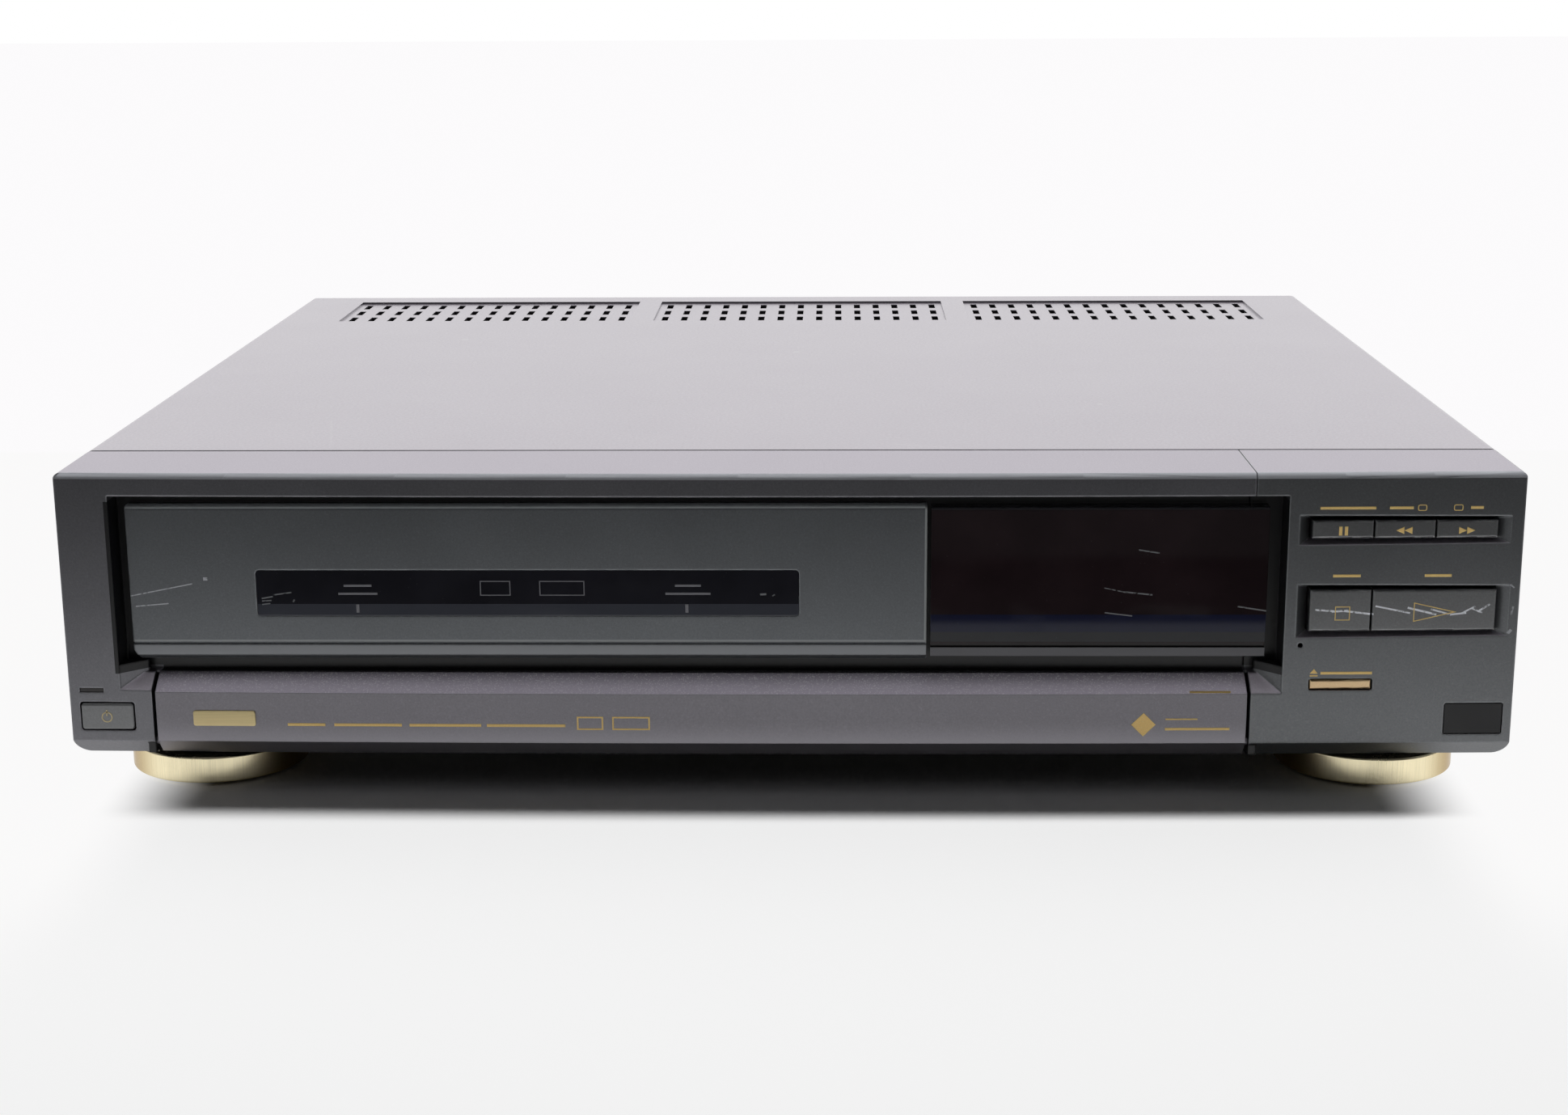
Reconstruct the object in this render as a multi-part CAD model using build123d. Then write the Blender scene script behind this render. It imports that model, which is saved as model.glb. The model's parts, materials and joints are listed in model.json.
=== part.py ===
"""A tray-loading video cassette recorder, one STEP file for each sub-part.

X runs to the right as the user faces the recorder, Y runs to the rear and Z up.
The origin is the centre of the footprint on the table.  A "depth" is measured
rearwards from the nose, which is the foremost line of the bowed fascia.
"""
from build123d import *
from math import atan2, cos, degrees, hypot, pi, radians, sin, tan
import os

# ---------------------------------------------------------------- cabinet sizes
CABINET_WIDTH = 436.0        # outside of the steel cover
CABINET_DEPTH = 375.0        # nose of the fascia to the rear edge of the cover
CABINET_HEIGHT = 99.0        # table to the top of the cover
FOOT_HEIGHT = 11.0           # table to the underside of the cabinet
SHEET = 1.0                  # steel of the cover and the pan
PAN_FLANGE = 6.0             # height of the pan's front and rear flanges
PAN_SIDE_TOP = 40.0          # top of the pan's side flanges
COVER_BEND = 2.5             # outside radius of the cover's long bends
TERMINAL_PROUD = 9.5         # how far the aerial sockets stand behind the cover
EASE = 0.3                   # usual gap between parts that meet but do not move
SEAT = 0.05                  # radial clearance of every shaft in its bore
OVER = 1.0                   # how far a cutting tool runs past what it cuts

HALF = CABINET_WIDTH / 2
NOSE_Y = -(CABINET_DEPTH + TERMINAL_PROUD) / 2
COVER_UNDER = CABINET_HEIGHT - SHEET
PAN_TOPSIDE = FOOT_HEIGHT + SHEET
REAR_PANEL = CABINET_DEPTH - 2 * SHEET
PANEL_BACK = REAR_PANEL + SHEET

# ---------------------------------------------------------------- fascia sizes
FASCIA_WIDTH = CABINET_WIDTH - 1.0
FASCIA_HALF = FASCIA_WIDTH / 2
FASCIA_DEPTH = 36.5          # nose to the seam with the cover
FASCIA_BOW = 2.5             # how far the ends of the front lie behind the nose
FASCIA_WALL = 2.5
FASCIA_CHIN = 5.0            # the bevel along the bottom edge
INNER_CHIN = 3.5             # the same bevel on the inside
FASCIA_CORNER = 4.2          # rounding of the lower corners, seen from the front
SEAM_REBATE, SEAM_STEP = 1.0, 0.6           # step of the fascia in front of the cover: length and depth
FASCIA_EDGE = 1.6            # rounding of the top front edge
COVER_LIP = 4.0              # tongue of the fascia under the cover
LIP_ROOT = 6.0               # how far the tongue runs into the fascia
LIP_THICK = 1.5
SEAM_X = HALF - 79.7         # left edge of the control panel moulding
SEAM_GAP = 0.3
PAN_FRONT = FASCIA_DEPTH + EASE

# the wide recess that holds the tray front and the display
RECESS_LEFT, RECESS_RIGHT = -HALF + 16.2, HALF - 69.8
RECESS_BOTTOM, RECESS_TOP = FOOT_HEIGHT + 20.5, CABINET_HEIGHT - 6.8
RECESS_WALL = 1.8
RECESS_FLOOR = FOOT_HEIGHT + 26.4           # tunnel floor behind the door's bevel
RECESS_BACK = 12.0           # depth of the wall behind the tray front
BACK_WALL = 2.0
RECESS_DATUM = 1.0           # how far the recess walls start behind the face
CORNER_FACET = 8.0           # slanted facets in the lower corners
LEDGE_TOP = FOOT_HEIGHT + 25.2

# ---------------------------------------------------------------- tray sizes
CASSETTE_WIDTH, CASSETTE_LENGTH, CASSETTE_HEIGHT = 188.0, 104.0, 25.0
COMPACT_WIDTH, COMPACT_LENGTH, COMPACT_POCKET = 94.0, 61.0, 1.0
CASSETTE_PLAY = 1.5          # room round the cassette in its well
CASSETTE_FRONT = 16.0        # depth of the cassette's label edge
TRAY_WIDTH = CASSETTE_WIDTH + 52.0
TRAY_X = RECESS_LEFT + 3.8 + TRAY_WIDTH / 2         # centre line of the cassette
TRAY_LEFT, TRAY_RIGHT = TRAY_X - TRAY_WIDTH / 2, TRAY_X + TRAY_WIDTH / 2
TRAY_BOTTOM, TRAY_TOP = FOOT_HEIGHT + 29.6, CABINET_HEIGHT - 10.8
TRAY_FACE = 6.5              # depth of the tray's front face
TRAY_THICK = 5.5             # tray front, face to back
TRAY_BACK = TRAY_FACE + TRAY_THICK
TRAY_EDGE = 1.3              # rounding of its top edge
TRAY_SILL = 1.5              # bevel of its bottom edge
TRAY_LIP = 4.6               # height of the lip below the groove
TRAY_CORNER = 2.4            # cut-off corner of the lip at the left
GROOVE, GROOVE_DEPTH = 0.9, 0.8
TRAY_TRAVEL = 125.0
WINDOW_WIDTH, WINDOW_Z0, WINDOW_Z1 = CASSETTE_WIDTH - 24.4, FOOT_HEIGHT + 43.0, FOOT_HEIGHT + 57.4
WINDOW_CORNER = 1.2
WINDOW_RAMP = 4.8            # rise of the sloping sill in the window opening
WINDOW_LAP = 3.0             # how far the pane runs behind the front
PANE_THICK = 1.5
PAN_HALF = CASSETTE_WIDTH / 2 + 12.0        # half of the width over the pan's walls
PAN_WALL = 3.0
PAN_FLOOR = FOOT_HEIGHT + 39.0              # underside of the tray's floor
PAN_THICK = 3.0
PAN_SIDE = 13.0              # height of the side arms
PAN_TOP = PAN_FLOOR + PAN_SIDE
PAN_REAR = 128.0             # depth of the rear edge of the tray's floor
PAN_NOTCH = 14.0             # opening in the tray's rear edge for the tape guides
GUIDE_RAIL = 5.0             # height of the rails beside the cassette
ARM_REAR = 235.0             # depth of the end of the side arms
RUNNER = 8.0                 # how far the runners stand out from the arms
RUNNER_THICK = 3.0
RUNNER_FRONT = 20.0          # depth of the front ends of runners and rails
RUNNER_Z0 = PAN_TOP - RUNNER_THICK
REEL_SPACING = 76.0
REEL_DEPTH = 66.0
REEL_HOLE = 18.5

# ---------------------------------------------------------------- gear train
MODULE = 1.0
GEAR_TEETH = 36
PRESSURE_ANGLE = 20.0
BACKLASH = 0.35
ADDENDUM, DEDENDUM = MODULE, 1.25 * MODULE
RACK_BACK = 2.0              # bar behind the rack's teeth
SPARE_TEETH = 3              # teeth beyond the travel at each end of the rack
GEAR_DEPTH = 64.0            # depth of the gear's axis
GEAR_THICK = 6.0
GEAR_POST = 2.5
GEAR_PULLEY = 14.0
PULLEY_RIM, PULLEY_RIM_THICK = 1.4, 1.2
PULLEY_HEIGHT = 6.0          # belt pulley below the gear
GEAR_HOLES, GEAR_HOLE, GEAR_HOLE_CIRCLE = 5, 2.6, 9.0
MOTOR_PULLEY = 4.0
MOTOR_OFFSET = 36.0          # gear axis to motor axis
MOTOR_RADIUS, MOTOR_SHAFT = 12.0, 1.0
MOTOR_BELOW, MOTOR_ABOVE = 15.0, 11.0       # can below and above the deck
MOTOR_FLANGE = 16.0
BELT_THICK = 1.2
BELT_WIDTH = 2.5
BELT_GAP = 0.1
RAIL_PLAY = 0.35
RAIL_WALL = 2.15
RAIL_LIP = 2.0               # gap between the arm and the rail's mouth
PITCH_RADIUS = MODULE * GEAR_TEETH / 2
GEAR_X = TRAY_X + PAN_HALF + RACK_BACK + DEDENDUM + PITCH_RADIUS
GEAR_Z = PAN_FLOOR
MOTOR_X = GEAR_X + MOTOR_OFFSET
RAIL_BACK = PAN_HALF + RUNNER + RAIL_PLAY
BRACKET_X = RAIL_BACK + RAIL_WALL

# ---------------------------------------------------------------- the door
DOOR_LEFT, DOOR_RIGHT = RECESS_LEFT + 10.5, RECESS_RIGHT - 10.2
DOOR_MIDDLE = (DOOR_LEFT + DOOR_RIGHT) / 2
DOOR_GAP = 1.1
DOOR_BOTTOM, DOOR_TOP = FOOT_HEIGHT, LEDGE_TOP
DOOR_WALL = 2.4
DOOR_BEVEL_RUN, DOOR_BEVEL_RISE = 6.8, 4.7
DOOR_BACK_TOP = 9.0          # depth of the top of the door
DOOR_BACK_LOW = 6.6          # depth of its bottom edge
DOOR_RIM = 5.0               # height of the deeper part under the top
DOOR_PIVOT_DEPTH, DOOR_PIVOT_Z = 5.4, FOOT_HEIGHT + 4.2
DOOR_PIN = 1.2
DOOR_PIN_LENGTH = 2.2
DOOR_SWEEP = 9.9             # depth that the turning door never passes
STILE_WALL = 2.2             # walls that carry the door's pins
INNER_PANEL = 14.0           # depth of the panel behind the door
INNER_PANEL_THICK = 2.0
INNER_BACK = INNER_PANEL + INNER_PANEL_THICK
INNER_RIB, INNER_RIB_DEEP = 0.8, 3.0
STRIKER = (3.0, 2.6, 0.8)    # half width, depth of its root, half height
LATCH_Z = FOOT_HEIGHT + 19.0
LATCH_HALF, LATCH_MOUTH, LATCH_HIGH = 6.0, 3.6, 4.0
LATCH_GAP = 1.2

# ---------------------------------------------------------------- display
DISPLAY_LEFT, DISPLAY_RIGHT = TRAY_RIGHT + 1.2, RECESS_RIGHT - 4.6
DISPLAY_BOTTOM, DISPLAY_TOP = TRAY_BOTTOM + 1.1, CABINET_HEIGHT - 11.4
DISPLAY_PANE = 2.0
DISPLAY_EDGE = 1.2
DISPLAY_GROOVE_Z, DISPLAY_GROOVE, DISPLAY_GROOVE_DEPTH = 2.7, 1.6, 1.4
TUBE_DEPTH = 6.0             # thickness of the display's glass tube
TUBE_MARGIN = (6.0, 4.0, 8.0, 6.0)          # left, right, bottom and top
BOARD_DEPTH = 20.8           # depth of the front circuit board
BOARD_THICK = 1.6
FRONT_BOARD_BOTTOM = 17.0    # bottom of the part behind the control panel
BOSS_PLACES = ((HALF - 65.0, CABINET_HEIGHT - 26.5), (HALF - 7.0, CABINET_HEIGHT - 26.5),
               (HALF - 62.0, FOOT_HEIGHT + 31.5), (HALF - 7.0, FOOT_HEIGHT + 31.5))   # x and z
BOSS_RADIUS = 2.5

# ---------------------------------------------------------------- buttons
BUTTON_GAP = 0.4
BUTTON_TRAVEL = 1.2
BUTTON_INSET = 0.3           # button faces behind the panel's face
BUTTON_EDGE = 0.6
BUTTON_SKIRT = 2.0           # cap behind the pocket's floor
POCKET_DEPTH = 2.8
POCKET_LEFT, POCKET_RIGHT, POCKET_TOP, POCKET_FOOT = 3.5, 4.8, 1.3, 1.6
CONTROL_LEFT, CONTROL_RIGHT = HALF - 62.7, HALF - 8.0
UPPER_ROW = (CONTROL_LEFT, CONTROL_RIGHT, CABINET_HEIGHT - 19.8, CABINET_HEIGHT - 14.4)
LOWER_ROW = (CONTROL_LEFT + 0.2, CONTROL_RIGHT + 0.8, FOOT_HEIGHT + 39.8, FOOT_HEIGHT + 52.5)
STOP_WIDTH = 18.4
OPEN_BUTTON = (CONTROL_LEFT + 1.2, CONTROL_LEFT + 19.6, FOOT_HEIGHT + 21.8, FOOT_HEIGHT + 24.8)
POWER_BUTTON = (-HALF + 3.8, -HALF + 19.8, FOOT_HEIGHT + 8.6, FOOT_HEIGHT + 16.9)
POWER_KEY = (0.9, 0.7, 1.4, 8.0)            # corner, edge, wall and depth
POWER_LAMP = (-HALF + 3.6, -HALF + 11.0, FOOT_HEIGHT + 20.2, FOOT_HEIGHT + 21.7)
INFRARED = (HALF - 20.9, HALF - 3.1, FOOT_HEIGHT + 7.5, FOOT_HEIGHT + 17.4)
RESET_HOLE = (HALF - 64.8, FOOT_HEIGHT + 35.5, 0.8)             # x, z and radius
STEM = 2.0
PLUNGER = 1.7
SWITCH_BODY = 3.5
SWITCH_HALF = (3.0, 2.3)
SWITCH_TIP = 5.2             # switch tip in front of the board
TIP_DEPTH = BOARD_DEPTH - SWITCH_TIP

# ---------------------------------------------------------------- behind the door
KEY_XS = (DOOR_LEFT + 41.3, DOOR_LEFT + 55.3)           # two tracking keys
KEY_SIZE = (9.0, 5.0)
KEY_Z = FOOT_HEIGHT + 14.0
KEY_PROUD = 1.8
KEY_COLLAR = 1.5
JACK_XS = tuple(DOOR_RIGHT - back for back in (56.0, 40.0, 24.0))
JACK_Z = FOOT_HEIGHT + 13.0
JACK_RADIUS = 4.15
JACK_BORE = 1.6
JACK_COLLAR = 1.1            # plastic collar round a socket, beyond its ring
COLLAR_PROUD = 0.8           # collar outside the rear panel
NECK_DEEP, NECK_LONG = 0.5, 0.6             # groove between the collar and the ring
FRONT_JACK_LENGTH = 5.0
JACK_STRIP = (8.0, 7.0)      # housing beyond the end sockets, and half its height

# ---------------------------------------------------------------- feet
FOOT_X = HALF - 37.8
FOOT_DEPTH = 33.3
FOOT_RADIUS = 27.3
FOOT_RING_Z0, FOOT_RING_Z1 = 0.9, FOOT_HEIGHT - 1.7
FOOT_RING_WALL, FOOT_RING_TOP = 2.0, 1.5
FOOT_NECK = 22.5
FOOT_PAD = 24.5
FOOT_EDGE = 0.6
REAR_FOOT_RADIUS = 12.0
REAR_FOOT_DEPTH = CABINET_DEPTH - 40.0
REAR_FOOT_X = HALF - 43.0
REAR_FOOT_EDGE = 1.5

# ---------------------------------------------------------------- vents in the cover
VENT_COLUMNS, VENT_ROWS = 15, 3
VENT_BLOCK_X = CABINET_WIDTH * 0.3011       # spacing of the three sunk panels
VENT_PITCH_X, VENT_PITCH_Y = VENT_BLOCK_X / 16.25, 17.3
VENT_SLOT = (2.6, 10.5)
VENT_MARGIN = (3.0, 5.2)
VENT_REAR = CABINET_DEPTH - 14.0
VENT_SUNK = 0.8
COVER_SCREW_Z = FOOT_HEIGHT + 19.0
COVER_SCREW_DEPTHS = (80.0, CABINET_DEPTH - 45.0)
SCREW_HEAD, SCREW_HEAD_THICK, SCREW_SHANK, SCREW_HOLE = 4.0, 1.8, 1.9, 2.2
SCREW_REACH = 6.0
SCREW_CROSS = (2.0, 0.4, 0.9)               # half length, half width, depth left

# ---------------------------------------------------------------- the deck
DECK_Z = FOOT_HEIGHT + 19.0
DECK_SHEET = 1.5
DECK_TOP = DECK_Z + DECK_SHEET
DECK_FRONT, DECK_REAR = 26.0, 242.0
DECK_WALL = 1.2
DECK_WALL_RISE = 3.0
EAR_RIGHT, EAR_LONG = 18.75, 22.0           # ear round the tray motor's axis
LEG_WIDTH, LEG_INSET = 14.0, 6.0
REEL_POST = 1.5
REEL_POST_HEIGHT = 13.0
REEL_DISC, REEL_HUB, REEL_SPINDLE = 17.0, 8.0, 4.5
REEL_LEVELS = (4.0, 9.0, 16.0)              # tops of disc, hub and spindle above the deck
REEL_SPLINE = (2.4, 1.4, 6.0)
DRUM_DEPTH = 182.0
DRUM_RADIUS = 31.0
DRUM_TILT = 5.0
DRUM_HALF, DRUM_LOWER = 14.0, 12.0           # heights of the two drums
DRUM_SPLIT = 0.3
DRUM_SHAFT = 3.0
DRUM_BASE_Z = DECK_TOP + 10.5               # middle of the fixed lower drum
DRUM_DISH, DRUM_DISH_DEEP = 5.0, 5.0        # rim round the dished top
DRUM_HUB = 9.0
DRUM_NECK, DRUM_NECK_LONG = 14.0, 10.0
DRUM_SEAT = 22.0
HEAD_NOTCH = (3.0, 4.0, 3.0)
CAPSTAN_X, CAPSTAN_DEPTH = TRAY_X + 48.0, 140.0
CAPSTAN_RADIUS = 2.0
CAPSTAN_TOP = DECK_Z + 32.0
CAPSTAN_SLEEVE = (6.0, 3.5)                 # radius, and top above the deck
CAPSTAN_FLANGE = (10.0, 3.5)                # radius and thickness
FLYWHEEL_RADIUS = 20.0
FLYWHEEL_Z0, FLYWHEEL_THICK = -12.0, 7.0    # from the deck's underside
FLYWHEEL_RIM, FLYWHEEL_WEB = 4.0, 4.5
STATOR_HALF, STATOR_THICK, STATOR_GAP = 18.0, 2.0, 1.2
BRIDGE = (6.0, 2.0, 4.0)                    # half width, half thickness, half width of the bar
PINCH_PIVOT = (TRAY_X + 78.0, 150.0)        # x and depth
PINCH_RADIUS = 7.0
PINCH_LENGTH = 15.0
PINCH_GAP = 0.3
PINCH_ANGLE = 20.0           # where the roller meets the capstan
PINCH_SWING = 35.0
PINCH_WEB = (4.0, 6.0)       # bottom and top of the lever above the deck
PINCH_BOSS, PINCH_PIN_TOP, PINCH_POST_TOP = 4.5, 24.0, 11.0
GUIDE_START, GUIDE_END = (20.0, 138.0), (42.0, 176.0)   # x from the centre line, depth
GUIDE_BASE, GUIDE_BASE_THICK = 6.5, 4.0
GUIDE_POST, GUIDE_TOP, GUIDE_CAP = 3.0, 26.0, 1.2
GUIDE_KEY, GUIDE_KEY_DISC = 2.0, 1.6
GUIDE_PIN = (4.2, -2.2, 8.0, 1.2, 20.0)     # offsets, lean, radius and length
HEAD_OFFSET = (2.0, 24.0)                   # audio head from the pinch pivot

# ---------------------------------------------------------------- electronics
BOARD_Z = FOOT_HEIGHT + 9.0
BOARD_FACE = BOARD_Z + BOARD_THICK
POWER_BOARD = (HALF - 152.0, HALF - 6.0, CABINET_DEPTH - 125.0, CABINET_DEPTH - 11.0)
MAIN_BOARD = (MOTOR_X + 22.75, HALF - 6.0, 60.0, CABINET_DEPTH - 140.0)
PILLAR_INSET, PILLAR_RADIUS = 5.0, 3.0
CHIPS = ((0.21, 0.17, 0.21, 0.126, 3.0), (0.55, 0.17, 0.27, 0.069, 4.0), (0.79, 0.4, 0.115, 0.171, 4.0),
         (0.26, 0.457, 0.288, 0.08, 4.0), (0.404, 0.743, 0.385, 0.091, 8.0),
         (0.837, 0.829, 0.154, 0.171, 8.0))   # centre and size as shares of the board, height
CAN_COUNT, CAN_RADIUS, CAN_HEIGHT = 6, 4.0, 10.0
CAN_START, CAN_STEP, CAN_ROW = 0.1, 0.115, 0.6
RESERVOIRS = ((18.0, 20.0, 9.0, 30.0), (18.0, 44.0, 9.0, 30.0), (18.0, 68.0, 7.0, 22.0),
              (18.0, 88.0, 7.0, 22.0), (38.0, 88.0, 5.0, 16.0), (38.0, 18.0, 6.0, 20.0))   # place, radius, height
SUPPLY_PLUG = (84.0, 100.0, 100.0, 112.0, 12.0)         # place on the board and height
TRANSFORMER_PLACE = (HALF - 40.0, CABINET_DEPTH - 75.0)
CORE_HALF, CORE_HEIGHT = (24.0, 10.0), 42.0
BOBBIN_HALF, BOBBIN_INSET, BOBBIN_EDGE = (13.0, 19.0), 3.0, 4.0
SINK_PLACE, SINK_LONG, SINK_HEIGHT = (52.0, 12.0), 72.0, 45.0
SINK_BACK, SINK_REACH, SINK_FINS, SINK_FIN = 3.0, 18.0, 7, 1.6
INLET_X, INLET_Z = HALF - 36.0, FOOT_HEIGHT + 19.0
INLET_PIN = 1.2
INLET_PITCH = 8.6
INLET_RECESS = 10.0
INLET_MOUTH = 7.4
INLET_BODY, INLET_FLANGE = (10.0, 6.0), (13.0, 8.0)
INLET_DEEP, INLET_CORNER = 14.0, 1.5
TUNER = (-60.0, 16.0, CABINET_DEPTH - 49.0, CABINET_DEPTH - 3.0)
TUNER_TOP, TUNER_EDGE = FOOT_HEIGHT + 55.0, 1.5
AERIAL_XS = (-44.0, -12.0)
AERIAL_Z = FOOT_HEIGHT + 34.0
AERIAL_RADIUS = 4.7
AERIAL_WALL, AERIAL_PIN = 1.2, 0.6
LINE_XS = tuple(-HALF + place for place in (68.0, 84.0, 100.0))
LINE_ZS = (FOOT_HEIGHT + 23.0, FOOT_HEIGHT + 41.0)
LINE_SHORT = 2.0             # phono sockets end this far before the aerial ones
LINE_BLOCK = (9.0, 8.0, 12.0)               # housing beyond the sockets, and its depth
REAR_LOUVRES, LOUVRE_HIGH, LOUVRE_PITCH = 5, 2.6, 7.0
LOUVRE_SPAN, LOUVRE_Z = (HALF - 138.0, HALF - 18.0), FOOT_HEIGHT + 39.0
PAN_SLOTS = (-HALF + 68.0, -HALF + 108.0, HALF - 158.0, HALF - 128.0)      # vents in the pan
PAN_SLOT_HALF, PAN_SLOT_ROWS, PAN_SLOT_PITCH, PAN_SLOT_WIDE = 14.0, 6, 12.0, 3.5
PAN_SLOT_FRONT = CABINET_DEPTH - 113.0


# ---------------------------------------------------------------- small helpers
def block(x0, x1, d0, d1, z0, z1):
    """Box between two places along X, two depths and two heights."""
    return Pos((x0 + x1) / 2, NOSE_Y + (d0 + d1) / 2, (z0 + z1) / 2) * Box(x1 - x0, d1 - d0, z1 - z0)


def post(x, depth, z0, z1, radius):
    """Upright round bar."""
    return Pos(x, NOSE_Y + depth, (z0 + z1) / 2) * Cylinder(radius, z1 - z0)


def bar(x, z, d0, d1, radius):
    """Round bar that runs rearwards."""
    return Pos(x, NOSE_Y + (d0 + d1) / 2, z) * Rot(90, 0, 0) * Cylinder(radius, d1 - d0)


def cross_bar(x0, x1, depth, z, radius):
    """Round bar that runs across the recorder."""
    return Pos((x0 + x1) / 2, NOSE_Y + depth, z) * Rot(0, 90, 0) * Cylinder(radius, x1 - x0)


def front_plane(depth):
    """Sketch plane that faces the user, with X to the right and Z up."""
    return Plane(origin=(0, NOSE_Y + depth, 0), x_dir=(1, 0, 0), z_dir=(0, -1, 0))


def slab(outline, d0, d1):
    """Front-view outline made solid from one depth to another."""
    return extrude(front_plane(d0) * outline, amount=-(d1 - d0))


def upright(outline, z0, z1):
    """Plan outline made solid from one height to another."""
    return extrude(Pos(0, 0, z0) * outline, amount=z1 - z0)


def bow(x):
    """Depth of the fascia's face at a place across it."""
    return FASCIA_BOW * (x / FASCIA_HALF) ** 2


def bowed(x0, x1, back, z0, z1, inset=0.0):
    """Prism whose front follows the bowed fascia, some way behind its face."""
    middle = (x0 + x1) / 2
    left, centre, right = ((x, NOSE_Y + bow(x) + inset) for x in (x0, middle, x1))
    rim = [ThreePointArc(left, centre, right),
           Polyline(right, (x1, NOSE_Y + back), (x0, NOSE_Y + back), left)]
    return upright(make_face(rim), z0, z1)


def rectangle(x0, x1, z0, z1, radius=0.0):
    """Front-view rectangle, with round corners where a radius is given."""
    shape = RectangleRounded(x1 - x0, z1 - z0, radius) if radius else Rectangle(x1 - x0, z1 - z0)
    return Pos((x0 + x1) / 2, (z0 + z1) / 2) * shape


def fused(parts):
    """One body from pieces that touch."""
    whole = parts[0]
    for piece in parts[1:]:
        whole = whole + piece
    return whole


# ---------------------------------------------------------------- front mouldings
def front_shell():
    """The whole front as one hollow form, before it is parted at the seam."""
    top = CABINET_HEIGHT
    outer = bowed(-FASCIA_HALF, FASCIA_HALF, FASCIA_DEPTH, FOOT_HEIGHT, top)
    low = outer.edges().filter_by(lambda e: abs(e.center().Z - FOOT_HEIGHT) < 0.01)
    outer = chamfer([e for e in low if e.center().Y < NOSE_Y + FASCIA_BOW + 1], FASCIA_CHIN)
    ridge = outer.edges().filter_by(lambda e: abs(e.center().Z - top) < 0.01)
    outer = fillet([e for e in ridge if e.center().Y < NOSE_Y + FASCIA_DEPTH - 1], FASCIA_EDGE)
    foot = block(-FASCIA_HALF - OVER, FASCIA_HALF + OVER, -OVER, FASCIA_DEPTH + OVER,
                 FOOT_HEIGHT - OVER, FOOT_HEIGHT + FASCIA_CORNER)
    rounded = slab(rectangle(-FASCIA_HALF, FASCIA_HALF, FOOT_HEIGHT, top, FASCIA_CORNER),
                   -2 * OVER, FASCIA_DEPTH + 2 * OVER)
    outer -= foot - rounded
    inner_half = FASCIA_HALF - FASCIA_WALL
    inner = bowed(-inner_half, inner_half, FASCIA_DEPTH + 1, FOOT_HEIGHT + FASCIA_WALL,
                  top - FASCIA_WALL, inset=FASCIA_WALL)
    low = inner.edges().filter_by(lambda e: abs(e.center().Z - FOOT_HEIGHT - FASCIA_WALL) < 0.01)
    inner = chamfer([e for e in low if e.center().Y < NOSE_Y + FASCIA_DEPTH - 1], INNER_CHIN)
    shell = outer - inner
    lip_top = COVER_UNDER - EASE
    lip = block(-inner_half + SHEET, inner_half - SHEET, FASCIA_DEPTH - LIP_ROOT, FASCIA_DEPTH + COVER_LIP,
                lip_top - LIP_THICK, lip_top)
    step = block(-FASCIA_HALF, FASCIA_HALF, FASCIA_DEPTH - SEAM_REBATE, FASCIA_DEPTH + OVER,
                 top - SEAM_STEP, top + OVER)
    return shell + lip - step


def recess_walls():
    """Tunnel behind the recess with the wall that frames the tray and the display."""
    left, right = RECESS_LEFT - RECESS_WALL, RECESS_RIGHT + RECESS_WALL
    back = RECESS_BACK + BACK_WALL
    tunnel = bowed(left, right, back, RECESS_FLOOR - RECESS_WALL, RECESS_TOP + RECESS_WALL, inset=RECESS_DATUM)
    tunnel -= block(RECESS_LEFT, RECESS_RIGHT, -OVER, RECESS_BACK, RECESS_FLOOR, RECESS_TOP)
    tunnel -= block(TRAY_LEFT + 1, TRAY_RIGHT - 0.5, -OVER, back + OVER, TRAY_BOTTOM + 1.4, TRAY_TOP - 3.2)
    tunnel -= block(DISPLAY_LEFT + 4.8, SEAM_X - 2, -OVER, back + OVER, DISPLAY_BOTTOM + 6.3, DISPLAY_TOP - 3.6)
    return tunnel


def door_walls():
    """Walls on each side of the door opening, which carry the door's pins."""
    left, right = DOOR_LEFT - DOOR_GAP, DOOR_RIGHT + DOOR_GAP
    back = INNER_BACK
    walls = []
    for x0, x1 in ((left - STILE_WALL, left), (right, right + STILE_WALL)):
        walls.append(bowed(x0, x1, back, FOOT_HEIGHT + 1, RECESS_FLOOR, inset=RECESS_DATUM))
    return walls


def corner_ledges():
    """Solid ends of the ledge beside the door, under the bevel."""
    back = INNER_BACK
    spans = ((RECESS_LEFT - RECESS_WALL, DOOR_LEFT - DOOR_GAP), (DOOR_RIGHT + DOOR_GAP, RECESS_RIGHT + RECESS_WALL))
    return [bowed(x0, x1, back, RECESS_BOTTOM - FASCIA_WALL, RECESS_FLOOR, inset=RECESS_DATUM) for x0, x1 in spans]


def corner_facets():
    """Slanted facets in the lower corners of the recess."""
    facets = []
    for x, turn in ((RECESS_LEFT, 1), (RECESS_RIGHT, -1)):
        corner = [(x - turn, NOSE_Y + bow(x) + 0.4), (x - turn, NOSE_Y + CORNER_FACET + 1),
                  (x + turn * (CORNER_FACET - 0.5), NOSE_Y + CORNER_FACET + 1), (x, NOSE_Y + bow(x) + 0.4)]
        facets.append(upright(make_face(Polyline(*corner, close=True)), RECESS_BOTTOM - 1, TRAY_BOTTOM - 0.8))
    return facets


def ledge_cut():
    """Side-view wedge that is open above the ledge, all along the recess."""
    side = [(-OVER, RECESS_BOTTOM), (FASCIA_BOW / 2, RECESS_BOTTOM), (DOOR_BEVEL_RUN + 1, DOOR_TOP),
            (RECESS_BACK, DOOR_TOP), (RECESS_BACK, RECESS_TOP), (-OVER, RECESS_TOP)]
    outline = make_face(Polyline(*[(RECESS_LEFT, NOSE_Y + d, z) for d, z in side], close=True))
    return extrude(outline, amount=RECESS_RIGHT - RECESS_LEFT, dir=(1, 0, 0))


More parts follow.
